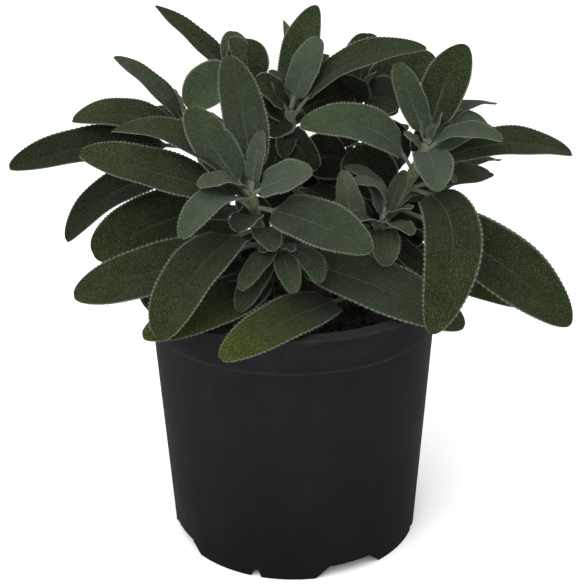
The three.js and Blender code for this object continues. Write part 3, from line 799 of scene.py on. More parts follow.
@dataclass(frozen=True)
class PotFinish:
    """Black moulded plastic with a faint moulding grain, scuffs and a little dry dust, paler edges that are
    partly a painted highlight, and painted shade towards the foot.
    """

    name: str
    black: Colour
    scuffed: Colour
    dust: Colour
    cloud_scale: float = 28.0
    cloud_share: float = 0.5
    scratch_scale: float = 60.0
    scratch_stretch: Point = (1.0, 1.0, 9.0)
    scratch_turn: Point = (0.0, 0.5, 0.3)
    scratch_band: tuple[float, float] = (0.66, 0.72)
    scratch_share: float = 0.35
    scratch_swell: float = 1.5
    # Paler edges at these heights, partly wear and partly a painted highlight.
    wear_and_highlight_heights: tuple[float, float] = (RING_HEIGHT + 0.5 * RING_STEP, POT_HEIGHT - 0.2)
    wear_and_highlight_reach: float = 0.9
    wear_and_highlight_core: float = 0.25
    wear_and_highlight_share: float = 0.1
    wear_and_highlight_spread: float = 0.4
    # Painted shade towards the foot.
    foot_painted_shade: float = 0.68
    foot_painted_shade_top: float = 80.0
    dust_scale: float = 42.0
    dust_amount: float = 0.36
    dust_bottom: float = 50.0
    dust_least: float = 0.35
    plain_roughness: float = 0.62
    cloud_roughness: float = 0.14
    dust_roughness: float = 0.5
    grain_scale: float = 900.0
    bump_strength: float = 0.25
    relief: float = 0.08

    def make(self, effects: SharedEffects) -> Material:
        """Builds the material.

        Args:
            effects: the shared node groups.

        Returns:
            The material, on Object coordinates.
        """
        sheet = MaterialSheet(self.name, {"Specular IOR Level": 0.02})
        place = sheet.place()
        height = sheet.parts(place)[2]
        clouds = sheet.blotches(effects, place, self.cloud_scale)
        colour = sheet.mix(sheet.times(clouds, self.cloud_share), self.black, self.scuffed)
        strokes = sheet.stretched(place, self.scratch_stretch, self.scratch_turn)
        scratch = sheet.noise(strokes, self.scratch_scale, detail=6.0)
        scuffs = sheet.times(sheet.ramp(scratch, *self.scratch_band), self.scratch_share)
        colour = sheet.mix(scuffs, colour, self.scuffed)

        # The ring's edge and the lip's are painted paler, partly as wear and partly as a painted highlight,
        # and painted shade darkens the plastic towards the foot.
        off_edges = [sheet.math("ABSOLUTE", sheet.math("SUBTRACT", height, edge * MM))
                     for edge in self.wear_and_highlight_heights]
        wear_and_highlight = sheet.ramp(sheet.math("MINIMUM", *off_edges), self.wear_and_highlight_reach * MM, self.wear_and_highlight_core * MM)
        wear_and_highlight = sheet.times(wear_and_highlight, sheet.line(clouds, self.wear_and_highlight_spread, self.wear_and_highlight_share))
        colour = sheet.mix(wear_and_highlight, colour, self.dust)
        foot_shade = sheet.ramp(height, 0.0, self.foot_painted_shade_top * MM, (self.foot_painted_shade, 1.0))
        colour = sheet.shaded(colour, foot_shade)
        dust_values = {"Vector": place, "Scale": self.dust_scale, "Amount": self.dust_amount}
        dust = sheet.group(effects.dust, dust_values).outputs["Mask"]
        top_share = sheet.ramp(height, self.dust_bottom * MM, POT_HEIGHT * MM, (self.dust_least, 1.0))
        sheet.feed("Base Color", sheet.mix(sheet.times(dust, top_share), colour, self.dust))
        roughness = sheet.line(clouds, self.cloud_roughness, self.plain_roughness)
        sheet.feed("Roughness", sheet.plus(roughness, sheet.times(dust, self.dust_roughness)))
        grain = sheet.noise(place, self.grain_scale, detail=3.0)
        swell = sheet.times(scratch, self.scratch_swell)
        sheet.bump(sheet.plus(grain, swell), self.bump_strength, self.relief)
        return sheet.material


def select_only(*objects: Piece) -> None:
    """Leaves only these objects selected, with the first one active.

    Args:
        objects: the objects to select.
    """
    bpy.ops.object.select_all(action="DESELECT")
    for piece in objects:
        piece.select_set(True)
    bpy.context.view_layer.objects.active = objects[0]


def new_primitive(add: Callable[..., set[str]], **values: object) -> Piece:
    """Deselects everything and adds one primitive.

    Args:
        add: the operator, such as bpy.ops.mesh.primitive_grid_add.
        values: the operator's own values.

    Returns:
        The primitive, selected and active.
    """
    bpy.ops.object.select_all(action="DESELECT")
    add(**values)
    return bpy.context.active_object


def copied(pattern: Piece) -> Piece:
    """Copies an object with its own mesh.

    Args:
        pattern: the object to copy.

    Returns:
        The copy, in the scene.
    """
    piece = pattern.copy()
    piece.data = pattern.data.copy()
    bpy.context.collection.objects.link(piece)
    return piece


def in_edit_mode(piece: Piece, steps: Callable[[], object]) -> None:
    """Runs steps in edit mode on one piece with all of it selected.

    Args:
        piece: the mesh object.
        steps: the edit-mode operators to run.
    """
    select_only(piece)
    bpy.ops.object.mode_set(mode="EDIT")
    bpy.ops.mesh.select_all(action="SELECT")
    steps()
    bpy.ops.object.mode_set(mode="OBJECT")


def close_up() -> None:
    """Merges doubled points and turns the faces outward, in edit mode."""
    bpy.ops.mesh.remove_doubles(threshold=MERGE_DISTANCE)
    bpy.ops.mesh.normals_make_consistent(inside=False)


def smoothed(piece: Piece) -> Piece:
    """Shades a piece smooth and returns it.

    Args:
        piece: the mesh object.

    Returns:
        The same piece.
    """
    select_only(piece)
    bpy.ops.object.shade_smooth()
    return piece


def coordinates(mesh: Mesh) -> Array:
    """Reads the vertices of a mesh.

    Args:
        mesh: the mesh.

    Returns:
        A row of x, y and z for each vertex.
    """
    values = np.zeros(len(mesh.vertices) * 3)
    mesh.vertices.foreach_get("co", values)
    return values.reshape(-1, 3)


def set_coordinates(mesh: Mesh, points: Array) -> None:
    """Moves a mesh's vertices to the given rows of x, y and z."""
    mesh.vertices.foreach_set("co", np.ascontiguousarray(points, dtype=np.float64).ravel())
    mesh.update()


def set_vector_attribute(mesh: Mesh, name: str, columns: Sequence[Array]) -> None:
    """Stores three numbers a vertex under a name that a material reads."""
    layer = mesh.attributes.get(name) or mesh.attributes.new(name, "FLOAT_VECTOR", "POINT")
    layer.data.foreach_set("vector", np.column_stack(columns).astype(np.float32).ravel())


def set_surface_map(mesh: Mesh, along: Array, across: Array) -> None:
    """Stores the place on the surface as the mesh's only map.

    Args:
        mesh: the mesh.
        along: each vertex's way along the surface, in millimetres.
        across: each vertex's way across it, in millimetres.
    """
    layer = mesh.uv_layers.get(SURFACE_MAP) or mesh.uv_layers.new(name=SURFACE_MAP)
    corners = np.zeros(len(mesh.loops), dtype=np.int32)
    mesh.loops.foreach_get("vertex_index", corners)
    layer.data.foreach_set("uv", np.column_stack((along, across))[corners].astype(np.float32).ravel())
    for other in [item.name for item in mesh.uv_layers if item.name != SURFACE_MAP]:
        mesh.uv_layers.remove(mesh.uv_layers[other])


def apply_modifiers(piece: Piece) -> None:
    """Applies every modifier of a piece, in order.

    Args:
        piece: the mesh object.
    """
    select_only(piece)
    for name in [modifier.name for modifier in piece.modifiers]:
        bpy.ops.object.modifier_apply(modifier=name)


def joined(name: str, pieces: Sequence[Piece]) -> Piece:
    """Joins pieces into one.

    Args:
        name: the joined object's name.
        pieces: the objects to join, or a single one to name.

    Returns:
        The joined object.
    """
    select_only(*pieces)
    if len(pieces) > 1:
        bpy.ops.object.join()
    piece = bpy.context.view_layer.objects.active
    piece.name = piece.data.name = name
    return piece


def dress(piece: Piece, slot: str, *nodes: str) -> None:
    """Lets a piece ride with the plant and stand for its solids.

    Args:
        piece: the finished piece.
        slot: not used.
        nodes: the solids that the piece stands for.
    """
    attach(piece, "root")
    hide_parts(*nodes)


def smoothstep(low: float, high: float, values: Array) -> Array:
    """Rises smoothly from 0 at low to 1 at high."""
    share = np.clip((values - low) / (high - low), 0.0, 1.0)
    return share * share * (3.0 - 2.0 * share)


def bell(values: Array, reach: float) -> Array:
    """Falls smoothly from 1 at 0 on both sides, by about two thirds within the reach."""
    return np.exp(-((values / reach) ** 2))


def unit(vector: Array) -> Array:
    """Returns a vector, or each row's vector, at length 1."""
    return vector / np.linalg.norm(vector, axis=-1, keepdims=True)


def turned(points: Array, angle: float) -> Array:
    """Turns points about the upright axis.

    Args:
        points: rows of x, y and z.
        angle: the turn in radians, to the left as seen from above.

    Returns:
        The turned rows.
    """
    x, y, z = points.T
    c, s = math.cos(angle), math.sin(angle)
    return np.column_stack((x * c - y * s, x * s + y * c, z))


def cubic(path: Sequence[Point], place: Array) -> tuple[Array, Array]:
    """Follows a cubic curve.

    Args:
        path: the curve's four points.
        place: the places along it, from 0 to 1.

    Returns:
        The points and the directions there.
    """
    a, b, c, d = (np.array(point, dtype=float) for point in path)
    t = np.atleast_1d(place)[:, None]
    points = (1 - t) ** 3 * a + 3 * (1 - t) ** 2 * t * b + 3 * (1 - t) * t**2 * c + t**3 * d
    slopes = 3 * (1 - t) ** 2 * (b - a) + 6 * (1 - t) * t * (c - b) + 3 * t**2 * (d - c)
    return points, unit(slopes)


def rolled_grid(around: int, rows: int) -> tuple[Piece, Array, Array]:
    """Adds a flat grid that is to be rolled into a tube.

    Args:
        around: the steps around the tube.
        rows: the steps along it.

    Returns:
        The grid, and each vertex's turn in radians and its row.
    """
    grid = new_primitive(
        bpy.ops.mesh.primitive_grid_add, x_subdivisions=around, y_subdivisions=rows, size=2.0)
    x, y, _ = (coordinates(grid.data).T + 1) / 2
    return grid, np.rint(x * around) % around * (2 * np.pi / around), np.rint(y * rows)


def wall_radius(height: float) -> float:
    """Returns the outside radius of the pot's plain wall at a height."""
    return FOOT_RADIUS + (LIP_RADIUS - LIP_OVERHANG - FOOT_RADIUS) * height / POT_HEIGHT


class LeafCurve:
    """The midrib of one leaf and the way that its upper face looks."""

    def __init__(self, shoot: ShootPlan, leaf: LeafPlan) -> None:
        """Finds the midrib's three points and the face's direction, as the solids do.

        Args:
            shoot: the shoot that the leaf grows on.
            leaf: the leaf's own values.
        """
        base = cubic(shoot.path, np.array([leaf.place]))[0][0]
        tip = np.array(leaf.tip, dtype=float)
        chord = unit(tip - base)
        face = unit(np.array((0.0, 0.0, 1.0)) - chord[2] * chord)
        angle = math.radians(leaf.roll)
        face = face * math.cos(angle) + np.cross(chord, face) * math.sin(angle)
        left = np.cross(face, chord)
        bow = base + (tip - base) * leaf.bend + face * leaf.arch + left * leaf.sweep
        self.points = (base, bow, tip)
        self.face = face

    def frame(self, place: Array) -> tuple[Array, Array, Array]:
        """Follows the midrib.

        Args:
            place: the places along it, from 0 to 1.

        Returns:
            The points there, and the directions left and up.
        """
        base, bow, tip = self.points
        t = place[:, None]
        centre = (1 - t) ** 2 * base + 2 * (1 - t) * t * bow + t**2 * tip
        forward = unit(2 * (1 - t) * (bow - base) + 2 * t * (tip - bow))
        up = unit(self.face - (forward @ self.face)[:, None] * forward)
        return centre, np.cross(up, forward), up

    def length(self, samples: int = 40) -> float:
        """Returns the midrib's length, measured straight from each sample of it to the next."""
        points = self.frame(np.linspace(0.0, 1.0, samples))[0]
        return float(np.linalg.norm(np.diff(points, axis=0), axis=1).sum())


@dataclass
class LeafPattern:
    """The flat leaf that others are copied from: two skins that meet at the margin."""

    size: LeafSize
    finishes: tuple[Material, Material]
    rows_a_tooth: int = 3
    stalk_rows: int = 8
    half_columns: tuple[float, ...] = (0.08, 0.28, 0.52, 0.76, 0.905, 0.97, 1.0)

    @property
    def blade_rows(self) -> int:
        """The number of steps along the blade."""
        return self.size.teeth * self.rows_a_tooth

    def build(self) -> Piece:
        """Models the pattern: a grid, its underside, and the two merged at the margin.

        Returns:
            The pattern's object. x is the share of the half width, y the row and z the side.
        """
        columns = 2 * len(self.half_columns)
        rows = self.stalk_rows + self.blade_rows
        piece = new_primitive(
            bpy.ops.mesh.primitive_grid_add, x_subdivisions=columns, y_subdivisions=rows, size=2.0)
        for finish in self.finishes:
            piece.data.materials.append(finish)
        in_edit_mode(piece, self._add_underside)
        x, y, z = coordinates(piece.data).T
        column = np.rint(x / 2 * columns).astype(int)
        row = np.rint((y + 1) / 2 * rows)
        share = np.sign(column) * np.array((0.0, *self.half_columns))[np.abs(column)]
        ends = (row == 0) | (row == rows)
        share[ends] = 0.0
        margin = (np.abs(column) == columns // 2) | ends
        side = np.where(margin, 0.0, np.where(z < -0.5, -1.0, 1.0))
        set_coordinates(piece.data, np.column_stack((share, row, side)))
        in_edit_mode(piece, lambda: bpy.ops.mesh.remove_doubles(threshold=0.001))
        return smoothed(piece)

    def _add_underside(self) -> None:
        """Doubles the grid as the underside, which faces down and has the second finish."""
        bpy.ops.mesh.duplicate_move(TRANSFORM_OT_translate={"value": (0.0, 0.0, -1.0)})
        bpy.ops.mesh.flip_normals()
        bpy.context.object.active_material_index = 1
        bpy.ops.object.material_slot_assign()


@dataclass
class LeafShape:
    """The form of a leaf's cross-section and margin, shared by all the leaves.

    Lengths are for a leaf of the full width, and a narrower one has smaller teeth and veins.
    """

    full_width: float = 16.0
    crowding: float = 0.75
    stalk_end: float = 0.12
    stalk_half_width: float = 0.95
    stalk_half_depth: float = 0.68
    stalk_sink: float = 0.62
    shoulder_end: float = 0.09
    shoulder_share: float = 0.45
    tip_zone: tuple[float, float] = (0.45, 0.85)
    blade_half_depth: float = 0.24
    blade_sink: float = 0.26
    blade_flatness: float = 8.0
    rib_depth: float = 0.75
    rib_reach: float = 0.75
    rib_fade: float = 0.85
    groove_depth: float = 0.32
    groove_reach: float = 0.4
    groove_fade: float = 0.6
    vein_pitch: float = 4.2
    vein_slant: float = 0.75
    vein_reach: float = 0.55
    vein_depth: float = 0.13
    under_vein_depth: float = 0.169
    vein_end: float = 0.75
    tooth_start: float = 0.86
    tooth_depth: float = 0.34
    tooth_middle: float = 0.45
    tooth_lift: float = 0.16
    lift_middle: float = 0.3
    fold_power: float = 1.2
    faint_yellow: float = 0.18
    map_step: float = 61.7
    chance_step: float = 0.618034
    hair_start: float = 0.02
    hair_lean: float = 0.25

    def copy_to(self, pattern: Piece, plan: LeafPattern, shoot: ShootPlan, leaf: LeafPlan,
                number: int) -> tuple[Piece, Array, Array]:
        """Copies the pattern leaf onto one leaf's midrib.

        Args:
            pattern: the pattern's object.
            plan: the pattern's own values.
            shoot: the shoot that the leaf grows on.
            leaf: the leaf's values.
            number: the leaf's number, which varies its tint and its pebbles.

        Returns:
            The new leaf, its margin's points and the way outward at each of them.
        """
        piece = copied(pattern)
        x, row, side = coordinates(pattern.data).T
        step = np.clip((row - plan.stalk_rows) / plan.blade_rows, 0.0, 1.0)
        rounded = 0.5 * (1.0 - np.cos(np.pi * step))
        blade = (1.0 - self.crowding) * step + self.crowding * rounded
        place = np.where(row < plan.stalk_rows, STALK_SHARE * row / plan.stalk_rows,
                         STALK_SHARE + (1.0 - STALK_SHARE) * blade)
        flat = smoothstep(0.0, self.stalk_end, blade)
        share = self._outline(leaf, blade)
        half = np.maximum(leaf.width / 2 * share, self.stalk_half_width * (1.0 - blade) ** 0.5)
        size = min(1.0, leaf.width / self.full_width)
        tooth = np.abs(np.sin(np.pi * plan.size.teeth * step)) * flat
        reach = smoothstep(self.tooth_start, 1.0, np.abs(x)) * size
        across = x * half + np.sign(x) * reach * self.tooth_depth * (tooth - self.tooth_middle)
        curve = LeafCurve(shoot, leaf)
        along = place * curve.length()

        slanted = (along - self.vein_slant * np.abs(across)) / self.vein_pitch
        vein = bell((slanted % 1.0 - 0.5) * self.vein_pitch, self.vein_reach)
        vein *= flat * (1.0 - smoothstep(self.vein_end, 1.0, np.abs(x))) * size
        height = self._section(x, side, across, blade, flat, vein)
        wave = -EDGE_WAVE * np.sin(np.pi * blade) * np.cos(2 * np.pi * (blade - WAVE_START) / WAVE_LENGTH)
        fold = BLADE_FOLD * leaf.width / 2 * share
        height += np.abs(x) ** self.fold_power * (fold + np.sign(x) * wave) * flat
        height += reach * self.tooth_lift * (tooth - self.lift_middle)

        centre, left, up = curve.frame(place)
        points = centre + left * across[:, None] + up * height[:, None]
        set_coordinates(piece.data, points * MM)
        on_blade = blade * (row >= plan.stalk_rows)
        self._store(piece.data, leaf, number, (along, across, on_blade, np.abs(x), tooth))
        on_margin = (np.abs(x) > 0.999) & (blade > self.hair_start)
        outward = left * np.sign(x)[:, None] + self.hair_lean * np.cross(left, up)
        return piece, points[on_margin], unit(outward[on_margin])

    def _outline(self, leaf: LeafPlan, blade: Array) -> Array:
        """Shapes the blade's outline.

        Args:
            leaf: the leaf's values.
            blade: places along the blade, from 0 to 1.

        Returns:
            The half width at each place, as a share of the greatest.
        """
        skewed = blade**BLADE_SKEW
        fullness = BLADE_FULLNESS + (leaf.end.value - BLADE_FULLNESS) * smoothstep(*self.tip_zone, blade)
        shoulder = smoothstep(0.0, self.shoulder_end, blade)
        return (4.0 * skewed * (1.0 - skewed)) ** fullness * (
            self.shoulder_share + (1.0 - self.shoulder_share) * shoulder)

    def _section(self, x: Array, side: Array, across: Array, blade: Array,
                 flat: Array, vein: Array) -> Array:
        """Shapes the cross-section, from a round stalk to a thin grooved and ribbed blade.

        Args:
            x: the share of the half width.
            side: 1 above, -1 below and 0 on the margin.
            across: the way from the midrib, in millimetres.
            blade: places along the blade, from 0 to 1.
            flat: 0 on the stalk and 1 on the blade.
            vein: 1 on a side vein and 0 off it.

        Returns:
            The height over the midrib, in millimetres.
        """
        roundness = np.sqrt(np.clip(1.0 - np.abs(x) ** (2.0 + self.blade_flatness * flat), 0.0, 1.0))
        depth = self.stalk_half_depth + (self.blade_half_depth - self.stalk_half_depth) * flat
        sink = self.stalk_sink + (self.blade_sink - self.stalk_sink) * flat
        groove = bell(across, self.groove_reach) * (1.0 - self.groove_fade * blade) * flat
        rib = bell(across, self.rib_reach) * (1.0 - self.rib_fade * blade) * flat
        return (side * depth * roundness - sink
                - (side > 0.5) * (self.groove_depth * groove + self.vein_depth * vein)
                - (side < -0.5) * (self.rib_depth * rib + self.under_vein_depth * vein))

    def _store(self, mesh: Mesh, leaf: LeafPlan, number: int,
               values: tuple[Array, Array, Array, Array, Array]) -> None:
        """Stores what the leaf's finish reads.

        Args:
            mesh: the leaf's mesh.
            leaf: the leaf's values.
            number: the leaf's number.
            values: along and across the leaf, along the blade, out to the margin, and the teeth.
        """
        along, across, blade, out, tooth = values
        age = leaf_age(leaf)
        grown = {LeafAge.YOUNG: 0.0, LeafAge.HALF_GROWN: 0.5}.get(age, 1.0)
        yellow = 1.0 if age is LeafAge.YELLOWING else self.faint_yellow
        # A shaded leaf's tone is pushed below the range from leaf to leaf, as painted shade.
        tone_and_painted_shade = (number * self.chance_step) % 1.0 - (PAINTED_SHADE_DIM if age is LeafAge.SHADED else 0.0)
        ones = np.ones(len(out))
        set_surface_map(mesh, along + self.map_step * number, across)
        set_vector_attribute(mesh, PLACE_ATTRIBUTE, (blade, out, tone_and_painted_shade * ones))
        set_vector_attribute(mesh, MOOD_ATTRIBUTE, (grown * ones, yellow * ones, tooth))


def leaf_age(leaf: LeafPlan) -> LeafAge:
    """Tells a leaf's age, from its width where the plan doesn't say.

    Args:
        leaf: the leaf's values.

    Returns:
        Its age.
    """
    if leaf.age is not None:
        return leaf.age
    if leaf.width <= YOUNG_WIDTH:
        return LeafAge.YOUNG
    return LeafAge.HALF_GROWN if leaf.width <= HALF_GROWN_WIDTH else LeafAge.GROWN


@dataclass
class Hairs:
    """Short stiff hairs, each a slender three-sided spike that stands on a margin or a stem."""

    length: float = 0.6
    half_width: float = 0.045
    length_shares: tuple[float, float] = (0.6, 1.25)
    rooting: float = 0.1
    scatter: float = 0.28
    upright_from: float = 0.9

    def build(self, name: str, roots: Array, outward: Array,
              finish: Material) -> Piece:
        """Models one spike and copies it to every root.

        Args:
            name: the piece's name.
            roots: the points that hairs grow from, in millimetres.
            outward: the direction at each root.
            finish: the hairs' material.

        Returns:
            The hairs as one object.
        """
        draw = np.random.default_rng(SEED)
        outward = unit(outward + draw.normal(0.0, self.scatter, outward.shape))
        lengths = self.length * draw.uniform(*self.length_shares, len(roots))
        pattern = new_primitive(bpy.ops.mesh.primitive_cone_add, vertices=3, radius1=1.0, radius2=0.0,
                                depth=1.0, location=(0.0, 0.0, 0.5))
        bpy.ops.object.transform_apply(location=True, rotation=False, scale=False)
        spike = coordinates(pattern.data)
        faces = np.array([list(face.vertices) for face in pattern.data.polygons if len(face.vertices) == 3])
        bpy.data.objects.remove(pattern)
        upright = np.abs(outward[:, 2:]) > self.upright_from
        across = unit(np.cross(outward, np.where(upright, [[1.0, 0.0, 0.0]], [[0.0, 0.0, 1.0]])))
        other = np.cross(outward, across)
        points = (roots[:, None, :]
                  + spike[None, :, 0:1] * self.half_width * across[:, None, :]
                  + spike[None, :, 1:2] * self.half_width * other[:, None, :]
                  + spike[None, :, 2:3] * (lengths[:, None, None] + self.rooting) * outward[:, None, :]
                  - self.rooting * outward[:, None, :])
        corners = faces[None, :, :] + len(spike) * np.arange(len(roots))[:, None, None]
        mesh = bpy.data.meshes.new(name)
        mesh.from_pydata((points.reshape(-1, 3) * MM).tolist(), [], corners.reshape(-1, 3).tolist())
        mesh.materials.append(finish)
        piece = bpy.data.objects.new(name, mesh)
        bpy.context.collection.objects.link(piece)
        in_edit_mode(piece, lambda: bpy.ops.mesh.normals_make_consistent(inside=False))
        return piece


@dataclass
class Stem:
    """The stems of one leafy stem: square bars with rounded corners, thicker where leaves leave."""

    sides: int = 20
    rows: int = 90
    knot: float = 0.22
    knot_reach: float = 0.018
    knot_limit: float = 1.6
    squareness: float = 3.2
    side_guide: Point = (0.0, 1.0, 0.35)
    hair_start: float = 0.35
    hair_lift: float = 1.05

    def frame(self, shoot: ShootPlan, place: Array) -> tuple[Array, Array, Array]:
        """Follows a shoot.

        Args:
            shoot: the shoot's curve.
            place: the places along it, from 0 to 1.

        Returns:
            The points there, and two directions square to the shoot.
        """
        centre, forward = cubic(shoot.path, place)
        across = unit(np.cross(forward, np.array(self.side_guide)))
        return centre, across, np.cross(forward, across)

    def build(self, shoot: ShootPlan, finish: Material) -> Piece:
        """Rolls a grid into one shoot's stem.

        Args:
            shoot: the shoot's curve, width and leaves.
            finish: the stems' material.

        Returns:
            The stem's object.
        """
        piece, turn, row = rolled_grid(self.sides, self.rows)
        place = np.clip((row - 1) / (self.rows - 2), 0.0, 1.0)
        c, s = np.cos(turn), np.sin(turn)
        square = (np.abs(c) ** self.squareness + np.abs(s) ** self.squareness) ** (-1 / self.squareness)
        swell = np.ones(len(place))
        for leaf in shoot.leaves:
            swell += self.knot * bell(place - leaf.place, self.knot_reach)
        radius = shoot.width / 2 * square * np.minimum(swell, 1.0 + self.knot_limit * self.knot)
        radius[(row == 0) | (row == self.rows)] = 0.0
        centre, across, other = self.frame(shoot, place)
        surface = centre + across * (radius * c)[:, None] + other * (radius * s)[:, None]
        set_coordinates(piece.data, surface * MM)
        reach = float(np.linalg.norm(np.array(shoot.path[3]) - np.array(shoot.path[0])))
        set_surface_map(piece.data, place * reach, turn * shoot.width / 2)
        piece.data.materials.append(finish)
        in_edit_mode(piece, close_up)
        return smoothed(piece)

    def hair_roots(self, shoot: ShootPlan, hairs: int,
                   draw: np.random.Generator) -> tuple[Array, Array]:
        """Scatters hairs over a shoot's green part.

        Args:
            shoot: the shoot's curve and width.
            hairs: the number of hairs.
            draw: the seeded draw.

        Returns:
            The hairs' roots and the way outward at each.
        """
        place = draw.uniform(self.hair_start, 1.0, hairs)
        turn = draw.uniform(0.0, 2 * np.pi, hairs)
        centre, across, other = self.frame(shoot, place)
        outward = across * np.cos(turn)[:, None] + other * np.sin(turn)[:, None]
        return centre + outward * shoot.width / 2 * self.hair_lift, outward


@dataclass
class Foliage:
    """The four leafy stems, each two pieces of leaves, a piece of stems and a piece of hairs."""

    upper: Material
    under: Material
    stem: Material
    hair: Material
    stem_hairs: int = 500

    def build(self) -> list[Piece]:
        """Builds every leafy stem.

        Returns:
            The finished pieces.
        """
        plans = [LeafPattern(size, (self.upper, self.under)) for size in LeafSize]
        patterns = [plan.build() for plan in plans]
        pieces = []
        numbers = count()
        for stem in LEAFY_STEMS:
            pieces += self._leafy_stem(stem, list(zip(patterns, plans)), numbers)
        for pattern in patterns:
            bpy.data.objects.remove(pattern)
        return pieces

    def _leafy_stem(self, stem: StemPlan, patterns: list[tuple[Piece, LeafPattern]],
                    numbers: Iterator[int]) -> list[Piece]:
        """Builds one leafy stem.

        Args:
            stem: the leafy stem's shoots.
            patterns: the pattern leaves with their values, from large to small.
            numbers: gives each leaf its number.

        Returns:
            Its pieces.
        """
        pieces, stems, hairs = [], [], []
        draw = np.random.default_rng(SEED)
        shape, bar = LeafShape(), Stem()
        for shoot, shoot_name in zip(stem.shoots, ("main", "side")):
            stems.append(bar.build(shoot, self.stem))
            hairs.append(bar.hair_roots(shoot, self.stem_hairs, draw))
            leaves = []
            for leaf in shoot.leaves:
                pattern, plan = next(pair for pair in patterns if leaf.width >= pair[1].size.least_width)
                piece, roots, outward = shape.copy_to(pattern, plan, shoot, leaf, next(numbers))
                leaves.append(piece)
                hairs.append((roots, outward))
            pieces.append(joined(f"{stem.name}_{shoot_name}_leaves", leaves))
        pieces.append(joined(f"{stem.name}_stems", stems))
        roots, outward = (np.vstack(rows) for rows in zip(*hairs))
        pieces.append(Hairs().build(f"{stem.name}_hairs", roots, outward, self.hair))
        for piece in pieces:
            dress(piece, "foliage", f"{stem.name}_leafy_stem")
        return pieces


@dataclass
class Pot:
    """The nursery pot: a thin tapered wall with a flat lip, a ring line and a notched foot."""

    finish: Material
    steps: int = 160
    notch_turn: float = -25.0
    notch_width: float = 23.4
    notch_height: float = 4.8
    notch_slope: float = 6.0
    slit_turn: float = 17.8
    slit_width: float = 3.2
    slit_height: float = 3.1
    slit_slope: float = 1.0
    cut_reach: float = 6.0
    cut_below: float = 1.0
    cut_flare: float = 0.3
    drain_holes: int = 6
    drain_radius: float = 4.0
    drain_circle: float = 30.0
    drill_length: float = 8.0
    drill_sides: int = 32
    edge_radius: float = 0.35
    edge_steps: int = 2
    edge_angle: float = 28.0
    smooth_angle: float = 35.0

    def profile(self) -> list[tuple[float, float]]:
        """Lists the section's corners.

        Returns:
            Each corner's radius and height, from the axis below to the axis above.
        """
        under = POT_HEIGHT - LIP_THICKNESS
        floor_top = FLOOR_HEIGHT + POT_WALL
        return [
            (0.0, FLOOR_HEIGHT),
            (FOOT_RADIUS - POT_WALL, FLOOR_HEIGHT),
            (FOOT_RADIUS - POT_WALL, 0.0),
            (FOOT_RADIUS, 0.0),
            (RING_RADIUS, RING_HEIGHT),
            (RING_RADIUS + RING_STEP, RING_HEIGHT + RING_STEP),
            (wall_radius(under), under),
            (LIP_RADIUS, under),
            (LIP_RADIUS, POT_HEIGHT),
            (wall_radius(POT_HEIGHT) - POT_WALL, POT_HEIGHT),
            (wall_radius(floor_top) - POT_WALL, floor_top),
            (0.0, floor_top),
        ]

    def build(self) -> Piece:
        """Spins the section, cuts the foot and the floor, and rounds the edges.

        Returns:
            The pot.
        """
        piece = new_primitive(bpy.ops.mesh.primitive_plane_add, size=1.0)
        in_edit_mode(piece, self._spin_section)
        cutter = self._cutters()
        cut = piece.modifiers.new("foot_cuts", "BOOLEAN")
        cut.operation, cut.solver, cut.object = "DIFFERENCE", "EXACT", cutter
        apply_modifiers(piece)
        bpy.data.objects.remove(cutter)
        edges = piece.modifiers.new("rounded_edges", "BEVEL")
        edges.width, edges.segments = self.edge_radius * MM, self.edge_steps
        edges.limit_method, edges.angle_limit = "ANGLE", math.radians(self.edge_angle)
        apply_modifiers(piece)
        piece = joined("black_pot", [piece])
        bpy.ops.object.shade_smooth_by_angle(angle=math.radians(self.smooth_angle))
        piece.data.materials.clear()
        piece.data.materials.append(self.finish)
        dress(piece, "pot", "pot")
        return piece

    def _spin_section(self) -> None:
        """Draws the section corner by corner and spins it, in edit mode."""
        corners = self.profile()
        bpy.ops.mesh.merge(type="CENTER")
        bpy.ops.transform.translate(value=(corners[0][0] * MM, 0.0, corners[0][1] * MM))
        for (r0, z0), (r1, z1) in zip(corners, corners[1:]):
            step = ((r1 - r0) * MM, 0.0, (z1 - z0) * MM)
            bpy.ops.mesh.extrude_region_move(TRANSFORM_OT_translate={"value": step})
        bpy.ops.mesh.select_all(action="SELECT")
        bpy.ops.mesh.spin(steps=self.steps, angle=2 * math.pi, center=(0.0, 0.0, 0.0), axis=(0.0, 0.0, 1.0))
        bpy.ops.mesh.select_all(action="SELECT")
        close_up()

    def _cutters(self) -> Piece:
        """Models the wedges that notch the foot and the bars that drill the floor.

        Returns:
            All of them as one object.
        """
        cutters = []
        for quarter in range(4):
            turn = 90.0 * quarter
            notch = (self.notch_width, self.notch_height, self.notch_slope, self.notch_turn + turn)
            slit = (self.slit_width, self.slit_height, self.slit_slope, self.slit_turn + turn)
            cutters += [self._wedge(*notch), self._wedge(*slit)]
        for hole in range(self.drain_holes):
            angle = 2 * math.pi * hole / self.drain_holes
            place = (self.drain_circle * math.cos(angle), self.drain_circle * math.sin(angle), FLOOR_HEIGHT)
            cutters.append(new_primitive(
                bpy.ops.mesh.primitive_cylinder_add, vertices=self.drill_sides,
                radius=self.drain_radius * MM, depth=self.drill_length * MM,
                location=[value * MM for value in place]))
        for cutter in cutters:
            select_only(cutter)
            bpy.ops.object.transform_apply(location=True, rotation=True, scale=True)
        return joined("cutters", cutters)

    def _wedge(self, width: float, height: float, slope: float, turn: float) -> Piece:
        """Models one wedge across the foot's wall.

        Args:
            width: its width halfway up.
            height: how far up the wall it reaches.
            slope: how much each of its sides leans over its height.
            turn: degrees from the front towards the plant's left.

        Returns:
            The wedge.
        """
        wedge = new_primitive(bpy.ops.mesh.primitive_cube_add, size=1.0)
        x, y, z = np.sign(coordinates(wedge.data)).T
        half = np.where(z > 0, width / 2 - slope / 2, width / 2 + slope / 2 + self.cut_flare)
        level = np.where(z > 0, height, -self.cut_below)
        corners = np.column_stack((x * half, -FOOT_RADIUS + y * self.cut_reach, level))
        set_coordinates(wedge.data, turned(corners, math.radians(-turn)) * MM)
        return wedge


